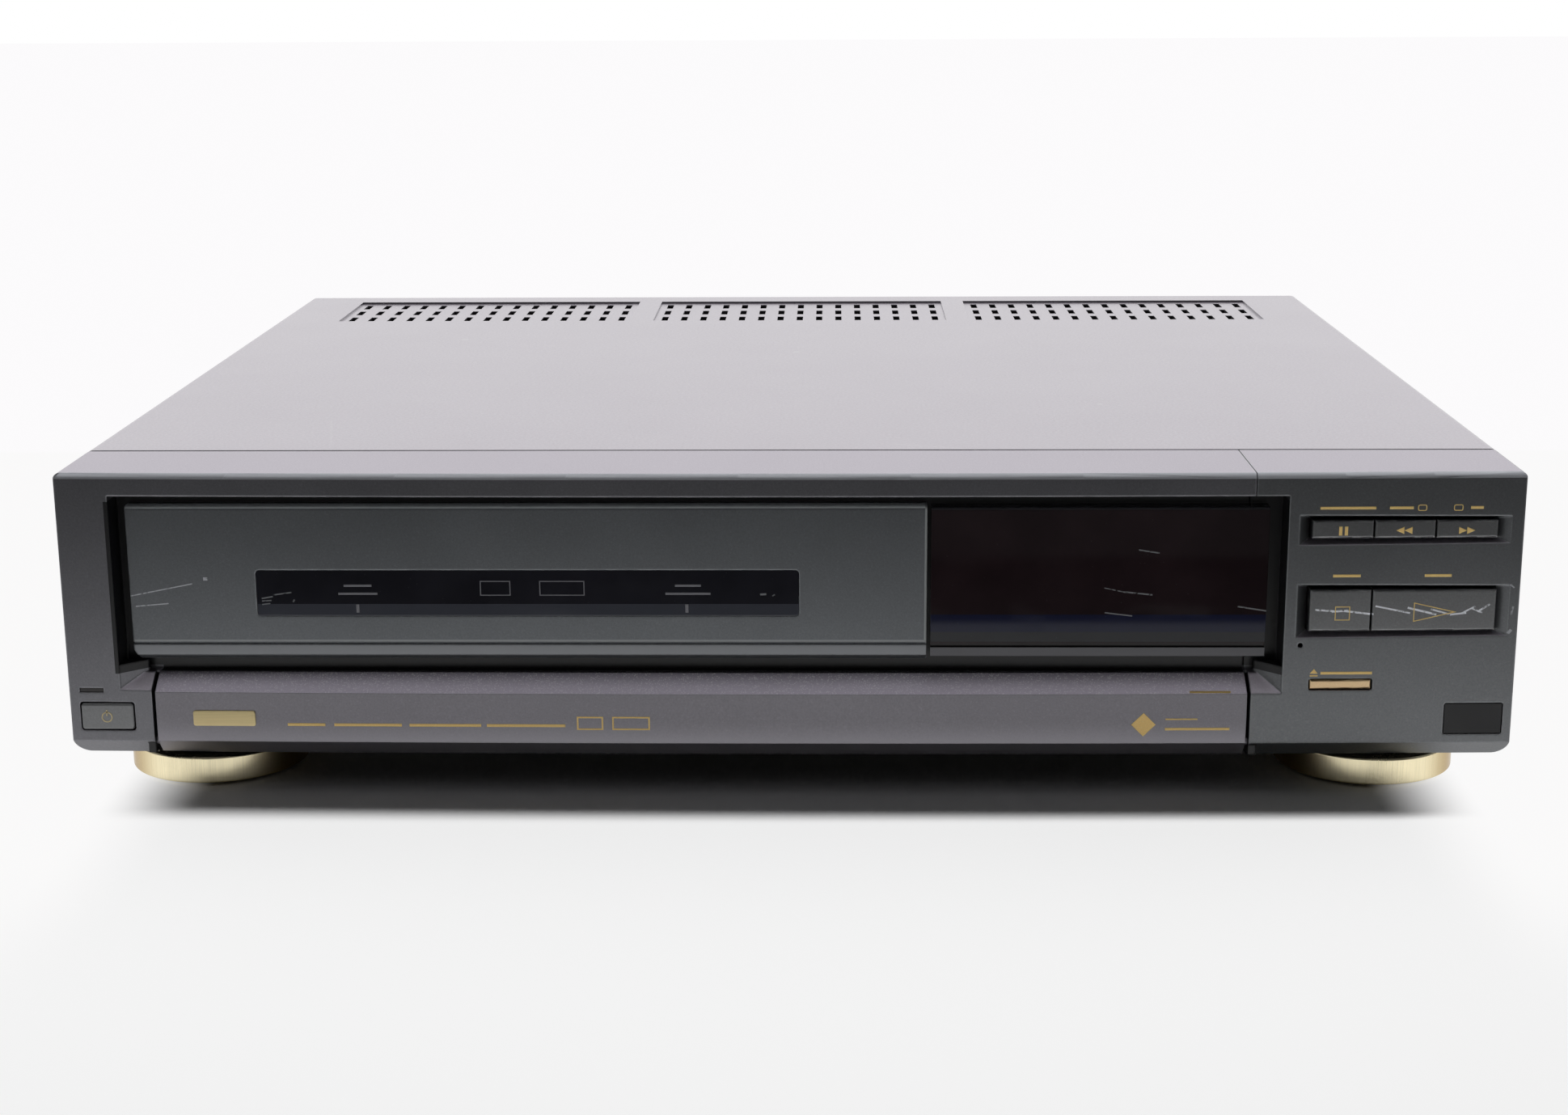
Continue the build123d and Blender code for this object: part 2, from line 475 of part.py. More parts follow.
def control_pockets(panel):
    """Sink the two bevelled pockets of the button rows and pierce them."""
    for x0, x1, z0, z1 in (UPPER_ROW, LOWER_ROW):
        face = bow(x0)
        floor = bow(x1) + POCKET_DEPTH
        a, b = x0 - BUTTON_GAP, x1 + BUTTON_GAP
        c, d = z0 - BUTTON_GAP, z1 + BUTTON_GAP
        panel += block(a - POCKET_LEFT, b + POCKET_RIGHT, face + 1.5, floor + FASCIA_WALL,
                       c - POCKET_FOOT - 1, d + POCKET_TOP + 1)
        mouth = rectangle(a - POCKET_LEFT, b + POCKET_RIGHT, c - POCKET_FOOT, d + POCKET_TOP)
        throat = rectangle(a, b, c, d)
        panel -= loft([front_plane(face) * mouth, front_plane(floor) * throat])
        panel -= slab(mouth, -OVER, face)
        panel -= slab(throat, -OVER, floor + FASCIA_WALL + OVER)
    return panel


def front_openings(shell):
    """Cut the small openings of the fascia and the control panel."""
    for x0, x1, z0, z1 in (OPEN_BUTTON, POWER_BUTTON):
        hole = rectangle(x0 - BUTTON_GAP, x1 + BUTTON_GAP, z0 - BUTTON_GAP, z1 + BUTTON_GAP, 1.0)
        shell -= slab(hole, -1, FASCIA_DEPTH / 2)
    shell -= slab(rectangle(*POWER_LAMP), -1, FASCIA_DEPTH / 4)
    shell -= slab(rectangle(*INFRARED, 0.8), -1, FASCIA_DEPTH / 2)
    x, z, radius = RESET_HOLE
    shell -= bar(x, z, -1, FASCIA_DEPTH / 4, radius)
    return shell


def front_mouldings():
    """Fascia and control panel, parted at the seam."""
    left, right = DOOR_LEFT - DOOR_GAP, DOOR_RIGHT + DOOR_GAP
    shell = fused([front_shell(), recess_walls(), *door_walls(), *corner_ledges()])
    shell -= block(RECESS_LEFT, RECESS_RIGHT, -OVER, RECESS_BACK, RECESS_FLOOR, RECESS_TOP)
    shell -= ledge_cut()
    shell -= block(left, right, -OVER, DOOR_SWEEP, 0, RECESS_FLOOR - RECESS_WALL)
    shell -= block(left, right, -OVER, DOOR_BACK_TOP + BUTTON_GAP, 0, RECESS_FLOOR + OVER)
    shell = fused([shell, *corner_facets()])
    shell -= cross_bar(left - STILE_WALL - OVER, right + STILE_WALL + OVER, DOOR_PIVOT_DEPTH, DOOR_PIVOT_Z,
                       DOOR_PIN + SEAT)
    shell = control_pockets(shell)
    shell = front_openings(shell)
    reach = FASCIA_DEPTH + COVER_LIP + OVER
    fascia = shell - block(SEAM_X - SEAM_GAP / 2, HALF, -OVER, reach, 0, CABINET_HEIGHT + OVER)
    panel = shell - block(-HALF, SEAM_X + SEAM_GAP / 2, -OVER, reach, 0, CABINET_HEIGHT + OVER)
    for x, z in BOSS_PLACES:
        panel += bar(x, z, bow(x) + FASCIA_WALL / 2, BOARD_DEPTH, BOSS_RADIUS)
    return fascia, panel


def door():
    """Flip-down door: a bowed channel with a bevelled top and moulded pins."""
    z0, z1 = DOOR_BOTTOM, DOOR_TOP
    outer = bowed(DOOR_LEFT, DOOR_RIGHT, DOOR_BACK_TOP + 1.5, z0, z1)
    crest = [e for e in outer.edges() if abs(e.center().Z - z1) < 0.01 and e.center().Y < NOSE_Y + 4]
    front = outer.faces().sort_by(Axis.Y)[0]
    outer = chamfer(crest, DOOR_BEVEL_RISE, DOOR_BEVEL_RUN, reference=front)
    chin = [e for e in outer.edges() if abs(e.center().Z - z0) < 0.01 and e.center().Y < NOSE_Y + 4]
    outer = chamfer(chin, FASCIA_CHIN)
    cavity = bowed(DOOR_LEFT + DOOR_WALL, DOOR_RIGHT - DOOR_WALL, DOOR_BACK_TOP + 3,
                   z0 + DOOR_WALL, z1 - DOOR_WALL, inset=DOOR_WALL)
    crest = [e for e in cavity.edges() if abs(e.center().Z - z1 + DOOR_WALL) < 0.01
             and e.center().Y < NOSE_Y + 5]
    front = cavity.faces().sort_by(Axis.Y)[0]
    cavity = chamfer(crest, DOOR_BEVEL_RISE, DOOR_BEVEL_RUN, reference=front)
    chin = [e for e in cavity.edges() if abs(e.center().Z - z0 - DOOR_WALL) < 0.01
            and e.center().Y < NOSE_Y + 5]
    cavity = chamfer(chin, INNER_CHIN)
    shell = outer - cavity
    reach = DOOR_BACK_TOP + 4
    shell -= block(DOOR_LEFT - OVER, DOOR_RIGHT + OVER, DOOR_BACK_LOW, reach, z0 - OVER, z1 - DOOR_RIM)
    shell -= block(DOOR_LEFT - OVER, DOOR_RIGHT + OVER, DOOR_BACK_TOP, reach, z0, z1 + OVER)
    for x0, x1 in ((DOOR_LEFT - DOOR_PIN_LENGTH - DOOR_GAP, DOOR_LEFT + 1),
                   (DOOR_RIGHT - 1, DOOR_RIGHT + DOOR_PIN_LENGTH + DOOR_GAP)):
        shell += cross_bar(x0, x1, DOOR_PIVOT_DEPTH, DOOR_PIVOT_Z, DOOR_PIN)
    half, root, high = STRIKER
    return shell + block(DOOR_MIDDLE - half, DOOR_MIDDLE + half, root, DOOR_BACK_TOP, LATCH_Z - high, LATCH_Z + high)


def door_latch():
    """Push-to-open catch on the inner panel, behind the door's striker."""
    front = DOOR_BACK_TOP + LATCH_GAP
    body = block(DOOR_MIDDLE - LATCH_HALF, DOOR_MIDDLE + LATCH_HALF, front, INNER_PANEL,
                 LATCH_Z - LATCH_HIGH, LATCH_Z + LATCH_HIGH)
    return body - block(DOOR_MIDDLE - LATCH_MOUTH, DOOR_MIDDLE + LATCH_MOUTH, front - OVER,
                        (front + INNER_PANEL) / 2, LATCH_Z - LATCH_HIGH / 3, LATCH_Z + LATCH_HIGH / 3)


def inner_panel():
    """Panel behind the door with openings for the keys and the jacks."""
    x0, x1 = DOOR_LEFT - DOOR_GAP + EASE, DOOR_RIGHT + DOOR_GAP - EASE
    z0, z1 = FOOT_HEIGHT + FASCIA_WALL, RECESS_FLOOR - RECESS_WALL
    panel = block(x0, x1, INNER_PANEL, INNER_BACK, z0, z1)
    reach = INNER_BACK + OVER
    for x in KEY_XS:
        wide, high = KEY_SIZE[0] / 2 + BUTTON_GAP, KEY_SIZE[1] / 2 + BUTTON_GAP
        panel -= slab(rectangle(x - wide, x + wide, KEY_Z - high, KEY_Z + high), INNER_PANEL - OVER, reach)
    for x in JACK_XS:
        panel -= bar(x, JACK_Z, INNER_PANEL - OVER, reach, JACK_RADIUS + EASE)
    for x in ((x0 + KEY_XS[0]) / 2, TRAY_X, (TRAY_X + JACK_XS[0]) / 2):
        panel += block(x - INNER_RIB, x + INNER_RIB, INNER_PANEL + 1, INNER_BACK + INNER_RIB_DEEP, z0, z1)
    return panel


def tracking_key(x):
    """Key that stands through the inner panel, with a collar behind it."""
    wide, high = KEY_SIZE[0] / 2, KEY_SIZE[1] / 2
    outline = rectangle(x - wide, x + wide, KEY_Z - high, KEY_Z + high, 0.8)
    back = INNER_BACK
    cap = slab(outline, INNER_PANEL - KEY_PROUD, back + EASE)
    wide, high = wide + KEY_COLLAR, high + KEY_COLLAR
    return cap + slab(rectangle(x - wide, x + wide, KEY_Z - high, KEY_Z + high), back + EASE, back + EASE + 1.0)


def front_jacks():
    """Strip of three phono sockets for the input behind the door."""
    back = INNER_BACK
    beyond, half = JACK_STRIP
    strip = block(JACK_XS[0] - beyond, JACK_XS[-1] + beyond, back + SEAT, back + beyond, JACK_Z - half, JACK_Z + half)
    for x in JACK_XS:
        strip += bar(x, JACK_Z, INNER_PANEL - FRONT_JACK_LENGTH, back + 1, JACK_RADIUS)
    for x in JACK_XS:
        strip -= bar(x, JACK_Z, INNER_PANEL - FRONT_JACK_LENGTH - OVER, back + beyond / 2, JACK_BORE)
    return strip


# ---------------------------------------------------------------- display and lamps
def display_window():
    """Smoked window with the groove and lip that carry on from the tray."""
    x0, x1 = DISPLAY_LEFT, DISPLAY_RIGHT
    pane = block(x0, x1, TRAY_FACE, TRAY_BACK - SEAT, DISPLAY_BOTTOM, DISPLAY_TOP)
    crest = [e for e in pane.edges() if abs(e.center().Z - DISPLAY_TOP) < 0.01
             and abs(e.center().Y - NOSE_Y - TRAY_FACE) < 0.01]
    pane = fillet(crest, DISPLAY_EDGE)
    groove_z = DISPLAY_BOTTOM + DISPLAY_GROOVE_Z
    pane -= block(x0 - OVER, x1 + OVER, TRAY_FACE - OVER, TRAY_FACE + DISPLAY_GROOVE_DEPTH,
                  groove_z, groove_z + DISPLAY_GROOVE)
    return pane - block(x0 + DISPLAY_PANE, x1 - DISPLAY_PANE, TRAY_FACE + DISPLAY_PANE, TRAY_BACK + OVER,
                        groove_z + DISPLAY_GROOVE + DISPLAY_PANE, DISPLAY_TOP - DISPLAY_PANE)


def display_tube():
    """Glass tube of the display with its pins on the front board."""
    d0 = RECESS_BACK + BACK_WALL + EASE
    left, right, low, high = TUBE_MARGIN
    x0, x1 = DISPLAY_LEFT + left, SEAM_X - right
    z0, z1 = DISPLAY_BOTTOM + low, DISPLAY_TOP - high
    tube = block(x0, x1, d0, d0 + TUBE_DEPTH, z0, z1)
    return tube + fused([block(x0 + 3, x1 - 3, d0 + TUBE_DEPTH - 1, BOARD_DEPTH, z + 0.2, z + 0.8)
                         for z in (z0, z1 - 1)])


def front_board():
    """Circuit board with a push switch behind each button."""
    d0, d1 = BOARD_DEPTH, BOARD_DEPTH + BOARD_THICK
    right = FASCIA_HALF - FASCIA_WALL - 2
    board = block(DISPLAY_LEFT + 2.8, right, d0, d1, DISPLAY_BOTTOM + 2.3, CABINET_HEIGHT - 9)
    board += block(RECESS_RIGHT + RECESS_WALL, right, d0, d1, FRONT_BOARD_BOTTOM, DISPLAY_BOTTOM + 10)
    wide, high = SWITCH_HALF
    for x, z in switch_places():
        board += block(x - wide, x + wide, d0 - SWITCH_BODY, d0 + 0.1, z - high, z + high)
        board += bar(x, z, TIP_DEPTH, d0 - SWITCH_BODY + 0.1, PLUNGER)
    x0, x1, z0, z1 = INFRARED
    sensor = block(x0 + 5, x1 - 5, d0 - SWITCH_TIP, d0 + 0.1, z0 + 1, z1 - 1)
    return board + sensor + bar((x0 + x1) / 2, (z0 + z1) / 2, d0 - SWITCH_TIP - 2, d0 - SWITCH_BODY, STEM)


def button_spans():
    """Outline of each control button by name: x0, x1, z0, z1."""
    x0, x1, z0, z1 = UPPER_ROW
    third = (x1 - x0) / 3
    half_gap = BUTTON_GAP / 2
    spans = {}
    for place, name in enumerate(("pause_button", "rewind_button", "fast_forward_button")):
        left = x0 + place * third
        spans[name] = (left + (half_gap if place else 0), left + third - (half_gap if place < 2 else 0), z0, z1)
    x0, x1, z0, z1 = LOWER_ROW
    spans["stop_button"] = (x0, x0 + STOP_WIDTH - half_gap, z0, z1)
    spans["play_button"] = (x0 + STOP_WIDTH + half_gap, x1, z0, z1)
    spans["open_close_button"] = OPEN_BUTTON
    return spans


def switch_places():
    """Centre of the switch behind each button on the front board."""
    return [((x0 + x1) / 2, (z0 + z1) / 2) for x0, x1, z0, z1 in button_spans().values()]


def control_button(x0, x1, z0, z1):
    """Button cap that follows the bowed face, with a stem to its switch."""
    x, z = (x0 + x1) / 2, (z0 + z1) / 2
    back = bow(x1) + POCKET_DEPTH + FASCIA_WALL + BUTTON_SKIRT
    cap = bowed(x0, x1, back, z0, z1, inset=BUTTON_INSET)
    rim = [e for e in cap.faces().sort_by(Axis.Y)[0].edges()]
    cap = fillet(rim, BUTTON_EDGE)
    return cap + bar(x, z, back - 0.5, TIP_DEPTH - BUTTON_TRAVEL - 0.1, min(STEM, (z1 - z0) / 2))


def power_button():
    """Wide key at the lower left with round corners."""
    x0, x1, z0, z1 = POWER_BUTTON
    corner, edge, wall, deep = POWER_KEY
    depth = bow(x0)
    cap = slab(rectangle(x0, x1, z0, z1, corner), depth - BUTTON_EDGE, depth + deep)
    front = cap.faces().sort_by(Axis.Y)[0]
    cap = fillet(front.edges(), edge)
    return cap - slab(rectangle(x0 + wall, x1 - wall, z0 + wall, z1 - wall), depth + wall, depth + deep + OVER)


def power_lamp():
    """Light pipe of the power lamp, flush with the fascia."""
    x0, x1, z0, z1 = POWER_LAMP
    return bowed(x0 + SEAT, x1 - SEAT, FASCIA_DEPTH / 4, z0 + SEAT, z1 - SEAT, inset=BUTTON_GAP)


def infrared_window():
    """Dark pane in front of the remote-control sensor."""
    x0, x1, z0, z1 = INFRARED
    back = bow(x1) + FASCIA_WALL
    pane = bowed(x0 + EASE, x1 - EASE, back + 1, z0 + EASE, z1 - EASE, inset=EASE / 2)
    return pane + block(x0 - 1.5, x1 - 1, back + BUTTON_GAP, back + 1 + BUTTON_GAP, z0 - 1.5, z1 + 1.5)


# ---------------------------------------------------------------- tray
def tray_front():
    """Drawer front with the slot window, the groove and the lower lip."""
    x0, x1 = TRAY_LEFT, TRAY_RIGHT
    front = block(x0, x1, TRAY_FACE, TRAY_BACK, TRAY_BOTTOM, TRAY_TOP)
    crest = [e for e in front.edges() if abs(e.center().Z - TRAY_TOP) < 0.01
             and abs(e.center().Y - NOSE_Y - TRAY_FACE) < 0.01]
    front = fillet(crest, TRAY_EDGE)
    sill = [e for e in front.edges() if abs(e.center().Z - TRAY_BOTTOM) < 0.01
            and abs(e.center().Y - NOSE_Y - TRAY_FACE) < 0.01]
    front = chamfer(sill, TRAY_SILL)
    groove_z = TRAY_BOTTOM + TRAY_LIP
    front -= block(x0 - OVER, x1 + OVER, TRAY_FACE - OVER, TRAY_FACE + GROOVE_DEPTH, groove_z, groove_z + GROOVE)
    corner = [(x0 - OVER, TRAY_BOTTOM - OVER), (x0 + TRAY_CORNER, TRAY_BOTTOM - OVER), (x0 - OVER, groove_z)]
    front -= slab(make_face(Polyline(*corner, close=True)), TRAY_FACE - OVER, TRAY_BACK + OVER)
    half = WINDOW_WIDTH / 2
    opening = rectangle(TRAY_X - half, TRAY_X + half, WINDOW_Z0, WINDOW_Z1, WINDOW_CORNER)
    front -= slab(opening, TRAY_FACE - OVER, TRAY_BACK + OVER)
    ramp = [(TRAY_FACE + 0.3, WINDOW_Z0 - 0.2), (TRAY_BACK, WINDOW_Z0 - 0.2), (TRAY_BACK, WINDOW_Z0 + WINDOW_RAMP),
            (TRAY_BACK - 1.6, WINDOW_Z0 + WINDOW_RAMP)]
    side = make_face(Polyline(*[(TRAY_X - half, NOSE_Y + d, z) for d, z in ramp], close=True))
    return front + extrude(side, amount=WINDOW_WIDTH, dir=(1, 0, 0))


def tray_window():
    """Smoked pane behind the slot in the tray front."""
    half = WINDOW_WIDTH / 2 + WINDOW_LAP
    return block(TRAY_X - half, TRAY_X + half, TRAY_BACK, TRAY_BACK + PANE_THICK, WINDOW_Z0 - EASE,
                 WINDOW_Z1 + WINDOW_LAP)


def tray_pan():
    """Cassette tray: floor with reel holes, side arms and runners."""
    inner = PAN_HALF - PAN_WALL
    floor_top = PAN_FLOOR + PAN_THICK
    pan = block(TRAY_X - PAN_HALF, TRAY_X + PAN_HALF, TRAY_BACK, PAN_REAR, PAN_FLOOR, floor_top)
    for side in (-1, 1):
        wall = sorted((TRAY_X + side * inner, TRAY_X + side * PAN_HALF))
        pan += block(*wall, TRAY_BACK, ARM_REAR, PAN_FLOOR, PAN_TOP)
        runner = sorted((TRAY_X + side * (PAN_HALF - 1), TRAY_X + side * (PAN_HALF + RUNNER)))
        pan += block(*runner, RUNNER_FRONT, ARM_REAR, RUNNER_Z0, PAN_TOP)
        guide = sorted((TRAY_X + side * (CASSETTE_WIDTH / 2 + CASSETTE_PLAY), TRAY_X + side * (inner + 0.5)))
        pan += block(*guide, TRAY_BACK, PAN_REAR, floor_top - 0.5, floor_top + GUIDE_RAIL)
    pan += block(TRAY_X - PAN_HALF, TRAY_X + PAN_HALF, TRAY_BACK, TRAY_BACK + 1.8, PAN_FLOOR, WINDOW_Z0 - EASE - SEAT)
    for reel in reel_places():
        pan -= post(reel, REEL_DEPTH, PAN_FLOOR - OVER, floor_top + OVER, REEL_HOLE)
    half = COMPACT_WIDTH / 2
    pan -= block(TRAY_X - half, TRAY_X + half, CASSETTE_FRONT, CASSETTE_FRONT + COMPACT_LENGTH,
                 floor_top - COMPACT_POCKET, floor_top + OVER)
    nose_half = CASSETTE_WIDTH / 4
    return pan - block(TRAY_X - nose_half, TRAY_X + nose_half, PAN_REAR - PAN_NOTCH, PAN_REAR + OVER,
                       PAN_FLOOR - OVER, floor_top + OVER)


def reel_places():
    """Where the two reels stand across the recorder."""
    return TRAY_X - REEL_SPACING / 2, TRAY_X + REEL_SPACING / 2


def tooth_half(height):
    """Half the thickness of a straight-flanked tooth above its pitch line."""
    return (pi * MODULE / 2 - BACKLASH) / 2 - height * tan(radians(PRESSURE_ANGLE))


def tray_rack():
    """Toothed bar on the right arm of the tray."""
    pitch = pi * MODULE
    back = TRAY_X + PAN_HALF
    root, tip = back + RACK_BACK, back + RACK_BACK + ADDENDUM + DEDENDUM
    first = GEAR_DEPTH - SPARE_TEETH * pitch
    teeth = int(TRAY_TRAVEL / pitch) + 2 * SPARE_TEETH + 1
    points = [(back, first - pitch / 2)]
    for number in range(teeth):
        middle = first + number * pitch
        low, high = tooth_half(-DEDENDUM), tooth_half(ADDENDUM)
        points += [(root, middle - low), (tip, middle - high), (tip, middle + high), (root, middle + low)]
    last = first + (teeth - 0.5) * pitch
    points = [points[0], (root, first - pitch / 2)] + points[1:] + [(root, last), (back, last)]
    outline = make_face(Polyline(*[(x, NOSE_Y + d) for x, d in points], close=True))
    return upright(outline, GEAR_Z, GEAR_Z + GEAR_THICK)


def gear_outline():
    """Plan of the spur gear, with a gap between teeth facing the rack."""
    angles = 2 * pi / GEAR_TEETH
    root, tip = PITCH_RADIUS - DEDENDUM, PITCH_RADIUS + ADDENDUM
    points = []
    for number in range(GEAR_TEETH):
        middle = pi + (number + 0.5) * angles
        for radius, height, side in ((root, -DEDENDUM, -1), (PITCH_RADIUS, 0, -1), (tip, ADDENDUM, -1),
                                     (tip, ADDENDUM, 1), (PITCH_RADIUS, 0, 1), (root, -DEDENDUM, 1)):
            turn = middle + side * tooth_half(height) / radius
            points.append((GEAR_X + radius * cos(turn), NOSE_Y + GEAR_DEPTH + radius * sin(turn)))
    return make_face(Polyline(*points, close=True))


def tray_drive_gear():
    """Gear that drives the rack, in one moulding with its belt pulley."""
    gear = upright(gear_outline(), GEAR_Z, GEAR_Z + GEAR_THICK)
    low, high = GEAR_Z - PULLEY_HEIGHT, GEAR_Z + GEAR_THICK
    gear += post(GEAR_X, GEAR_DEPTH, low, GEAR_Z + OVER, GEAR_PULLEY)
    for z0 in (low, GEAR_Z - PULLEY_RIM_THICK):
        gear += post(GEAR_X, GEAR_DEPTH, z0, z0 + PULLEY_RIM_THICK, GEAR_PULLEY + PULLEY_RIM)
    gear -= post(GEAR_X, GEAR_DEPTH, low - OVER, high + OVER, GEAR_POST + SEAT)
    for number in range(GEAR_HOLES):
        turn = 2 * pi * number / GEAR_HOLES
        gear -= post(GEAR_X + GEAR_HOLE_CIRCLE * cos(turn), GEAR_DEPTH + GEAR_HOLE_CIRCLE * sin(turn),
                     low - OVER, high + OVER, GEAR_HOLE)
    return gear


def motor_pulley():
    """Grooved pulley pressed on the tray motor's shaft."""
    low = GEAR_Z - PULLEY_HEIGHT
    pulley = post(MOTOR_X, GEAR_DEPTH, low, GEAR_Z - EASE, MOTOR_PULLEY)
    for z0 in (low, GEAR_Z - EASE - PULLEY_RIM_THICK):
        pulley += post(MOTOR_X, GEAR_DEPTH, z0, z0 + PULLEY_RIM_THICK, MOTOR_PULLEY + PULLEY_RIM)
    return pulley - post(MOTOR_X, GEAR_DEPTH, low - OVER, GEAR_Z, MOTOR_SHAFT + SEAT)


def tray_motor():
    """Small motor with its mounting flange and shaft."""
    motor = post(MOTOR_X, GEAR_DEPTH, DECK_TOP - MOTOR_BELOW, DECK_TOP + MOTOR_ABOVE, MOTOR_RADIUS)
    motor += post(MOTOR_X, GEAR_DEPTH, DECK_TOP, DECK_TOP + DECK_SHEET, MOTOR_FLANGE)
    return motor + post(MOTOR_X, GEAR_DEPTH, DECK_TOP, GEAR_Z - EASE - SEAT, MOTOR_SHAFT)


def belt_loop(grow):
    """Plan of the loop round both pulleys, some way outside them."""
    gear = Pos(GEAR_X, NOSE_Y + GEAR_DEPTH) * Circle(GEAR_PULLEY + grow)
    motor = Pos(MOTOR_X, NOSE_Y + GEAR_DEPTH) * Circle(MOTOR_PULLEY + grow)
    return make_hull([*gear.edges(), *motor.edges()])


def tray_belt():
    """Rubber belt from the motor to the gear."""
    z0 = GEAR_Z - (PULLEY_HEIGHT + BELT_WIDTH) / 2
    loop = upright(belt_loop(BELT_GAP + BELT_THICK), z0, z0 + BELT_WIDTH)
    return loop - upright(belt_loop(BELT_GAP), z0 - OVER, z0 + BELT_WIDTH + OVER)


def tray_rail(side):
    """Channel that holds one runner of the tray."""
    inner, rear = PAN_HALF + RAIL_LIP, DECK_REAR - 2
    z0, z1 = RUNNER_Z0 - RAIL_PLAY, PAN_TOP + RAIL_PLAY
    solid = block(*sorted((TRAY_X + side * inner, TRAY_X + side * BRACKET_X)), RUNNER_FRONT, rear,
                  z0 - RAIL_WALL, z1 + RAIL_WALL)
    return solid - block(*sorted((TRAY_X + side * (inner - OVER), TRAY_X + side * RAIL_BACK)),
                         RUNNER_FRONT - OVER, rear + OVER, z0, z1)


# ---------------------------------------------------------------- deck
def oblique_slot(start, end, width):
    """Plan of a slot between two places."""
    run, rise = end[0] - start[0], end[1] - start[1]
    middle = ((start[0] + end[0]) / 2, NOSE_Y + (start[1] + end[1]) / 2)
    slot = SlotCenterToCenter(hypot(run, rise), width)
    return Pos(*middle) * Rot(0, 0, degrees(atan2(rise, run))) * slot


def guide_line(side):
    """Start and end of a tape guide's travel."""
    return tuple((TRAY_X + side * x, depth) for x, depth in (GUIDE_START, GUIDE_END))


def deck_plate():
    """Pressed chassis of the tape deck, with side walls, legs and fixed posts."""
    x0, x1 = TRAY_X - BRACKET_X - DECK_WALL, TRAY_X + BRACKET_X + DECK_WALL
    deck = block(x0, x1, DECK_FRONT, DECK_REAR, DECK_Z, DECK_TOP)
    deck += block(x1 - DECK_WALL, MOTOR_X + EAR_RIGHT, GEAR_DEPTH - EAR_LONG, GEAR_DEPTH + EAR_LONG, DECK_Z, DECK_TOP)
    for a, b in ((x0, x0 + DECK_WALL), (x1 - DECK_WALL, x1)):
        deck += block(a, b, DECK_FRONT, DECK_REAR, DECK_Z, PAN_TOP + DECK_WALL_RISE)
    reach = PITCH_RADIUS + ADDENDUM + 2
    deck -= block(x1 - DECK_WALL - OVER, x1 + OVER, GEAR_DEPTH - reach, GEAR_DEPTH + reach,
                  GEAR_Z - PULLEY_HEIGHT - 2, GEAR_Z + GEAR_THICK + OVER)
    for x in (x0, x1 - LEG_WIDTH):
        for depth in (PAN_FRONT + LEG_INSET, DECK_REAR - DECK_SHEET):
            deck += block(x, x + LEG_WIDTH, depth, depth + DECK_SHEET, PAN_TOPSIDE, DECK_TOP)
    deck += post(GEAR_X, GEAR_DEPTH, DECK_Z, GEAR_Z - PULLEY_HEIGHT - EASE, GEAR_POST + 2)
    deck += post(GEAR_X, GEAR_DEPTH, DECK_Z, GEAR_Z + GEAR_THICK + 1.5, GEAR_POST)
    for x in reel_places():
        deck += post(x, REEL_DEPTH, DECK_Z, DECK_TOP + REEL_POST_HEIGHT, REEL_POST)
    deck += post(*PINCH_PIVOT, DECK_Z, DECK_TOP + PINCH_POST_TOP, CAPSTAN_RADIUS)
    for x, depth, radius in ((MOTOR_X, GEAR_DEPTH, MOTOR_RADIUS), (CAPSTAN_X, CAPSTAN_DEPTH, CAPSTAN_SLEEVE[0]),
                             (TRAY_X, DRUM_DEPTH, DRUM_NECK + 3)):
        deck -= post(x, depth, DECK_Z - OVER, DECK_TOP + OVER, radius + EASE)
    for side in (-1, 1):
        deck -= upright(oblique_slot(*guide_line(side), 2 * (GUIDE_KEY + BUTTON_GAP)), DECK_Z - OVER, DECK_TOP + OVER)
    return deck


def reel_table(x):
    """Reel disc with its splined spindle, turning on the deck's post."""
    disc, hub, spindle = REEL_LEVELS
    reel = fused([post(x, REEL_DEPTH, DECK_TOP + EASE, DECK_TOP + disc, REEL_DISC),
                  post(x, REEL_DEPTH, DECK_TOP + disc, DECK_TOP + hub, REEL_HUB),
                  post(x, REEL_DEPTH, DECK_TOP + hub, DECK_TOP + spindle, REEL_SPINDLE)])
    for turn in (0, 120, 240):
        spline = Pos(REEL_SPINDLE, 0, 0) * Box(*REEL_SPLINE)
        reel += Pos(x, NOSE_Y + REEL_DEPTH, DECK_TOP + hub + REEL_SPLINE[2] / 2) * Rot(0, 0, turn) * spline
    return reel - post(x, REEL_DEPTH, DECK_Z, DECK_TOP + REEL_POST_HEIGHT + EASE, REEL_POST + SEAT)


def tilted(shape):
    """Lean a drum piece back about the middle of the lower drum."""
    return Pos(TRAY_X, NOSE_Y + DRUM_DEPTH, DRUM_BASE_Z) * Rot(DRUM_TILT, 0, 0) * shape


def drum_base():
    """Casting with the fixed lower drum and the shaft's bearing."""
    lower = Cylinder(DRUM_RADIUS, DRUM_LOWER)
    neck = Pos(0, 0, -(DRUM_LOWER + DRUM_NECK_LONG) / 2 + 1) * Cylinder(DRUM_NECK, DRUM_NECK_LONG)
    body = tilted(lower + neck) & block(-HALF, HALF, 0, CABINET_DEPTH, DECK_TOP, CABINET_HEIGHT)
    body += post(TRAY_X, DRUM_DEPTH, DECK_TOP, DECK_TOP + 3, DRUM_SEAT)
    return body - tilted(Cylinder(DRUM_SHAFT + SEAT, CABINET_HEIGHT))


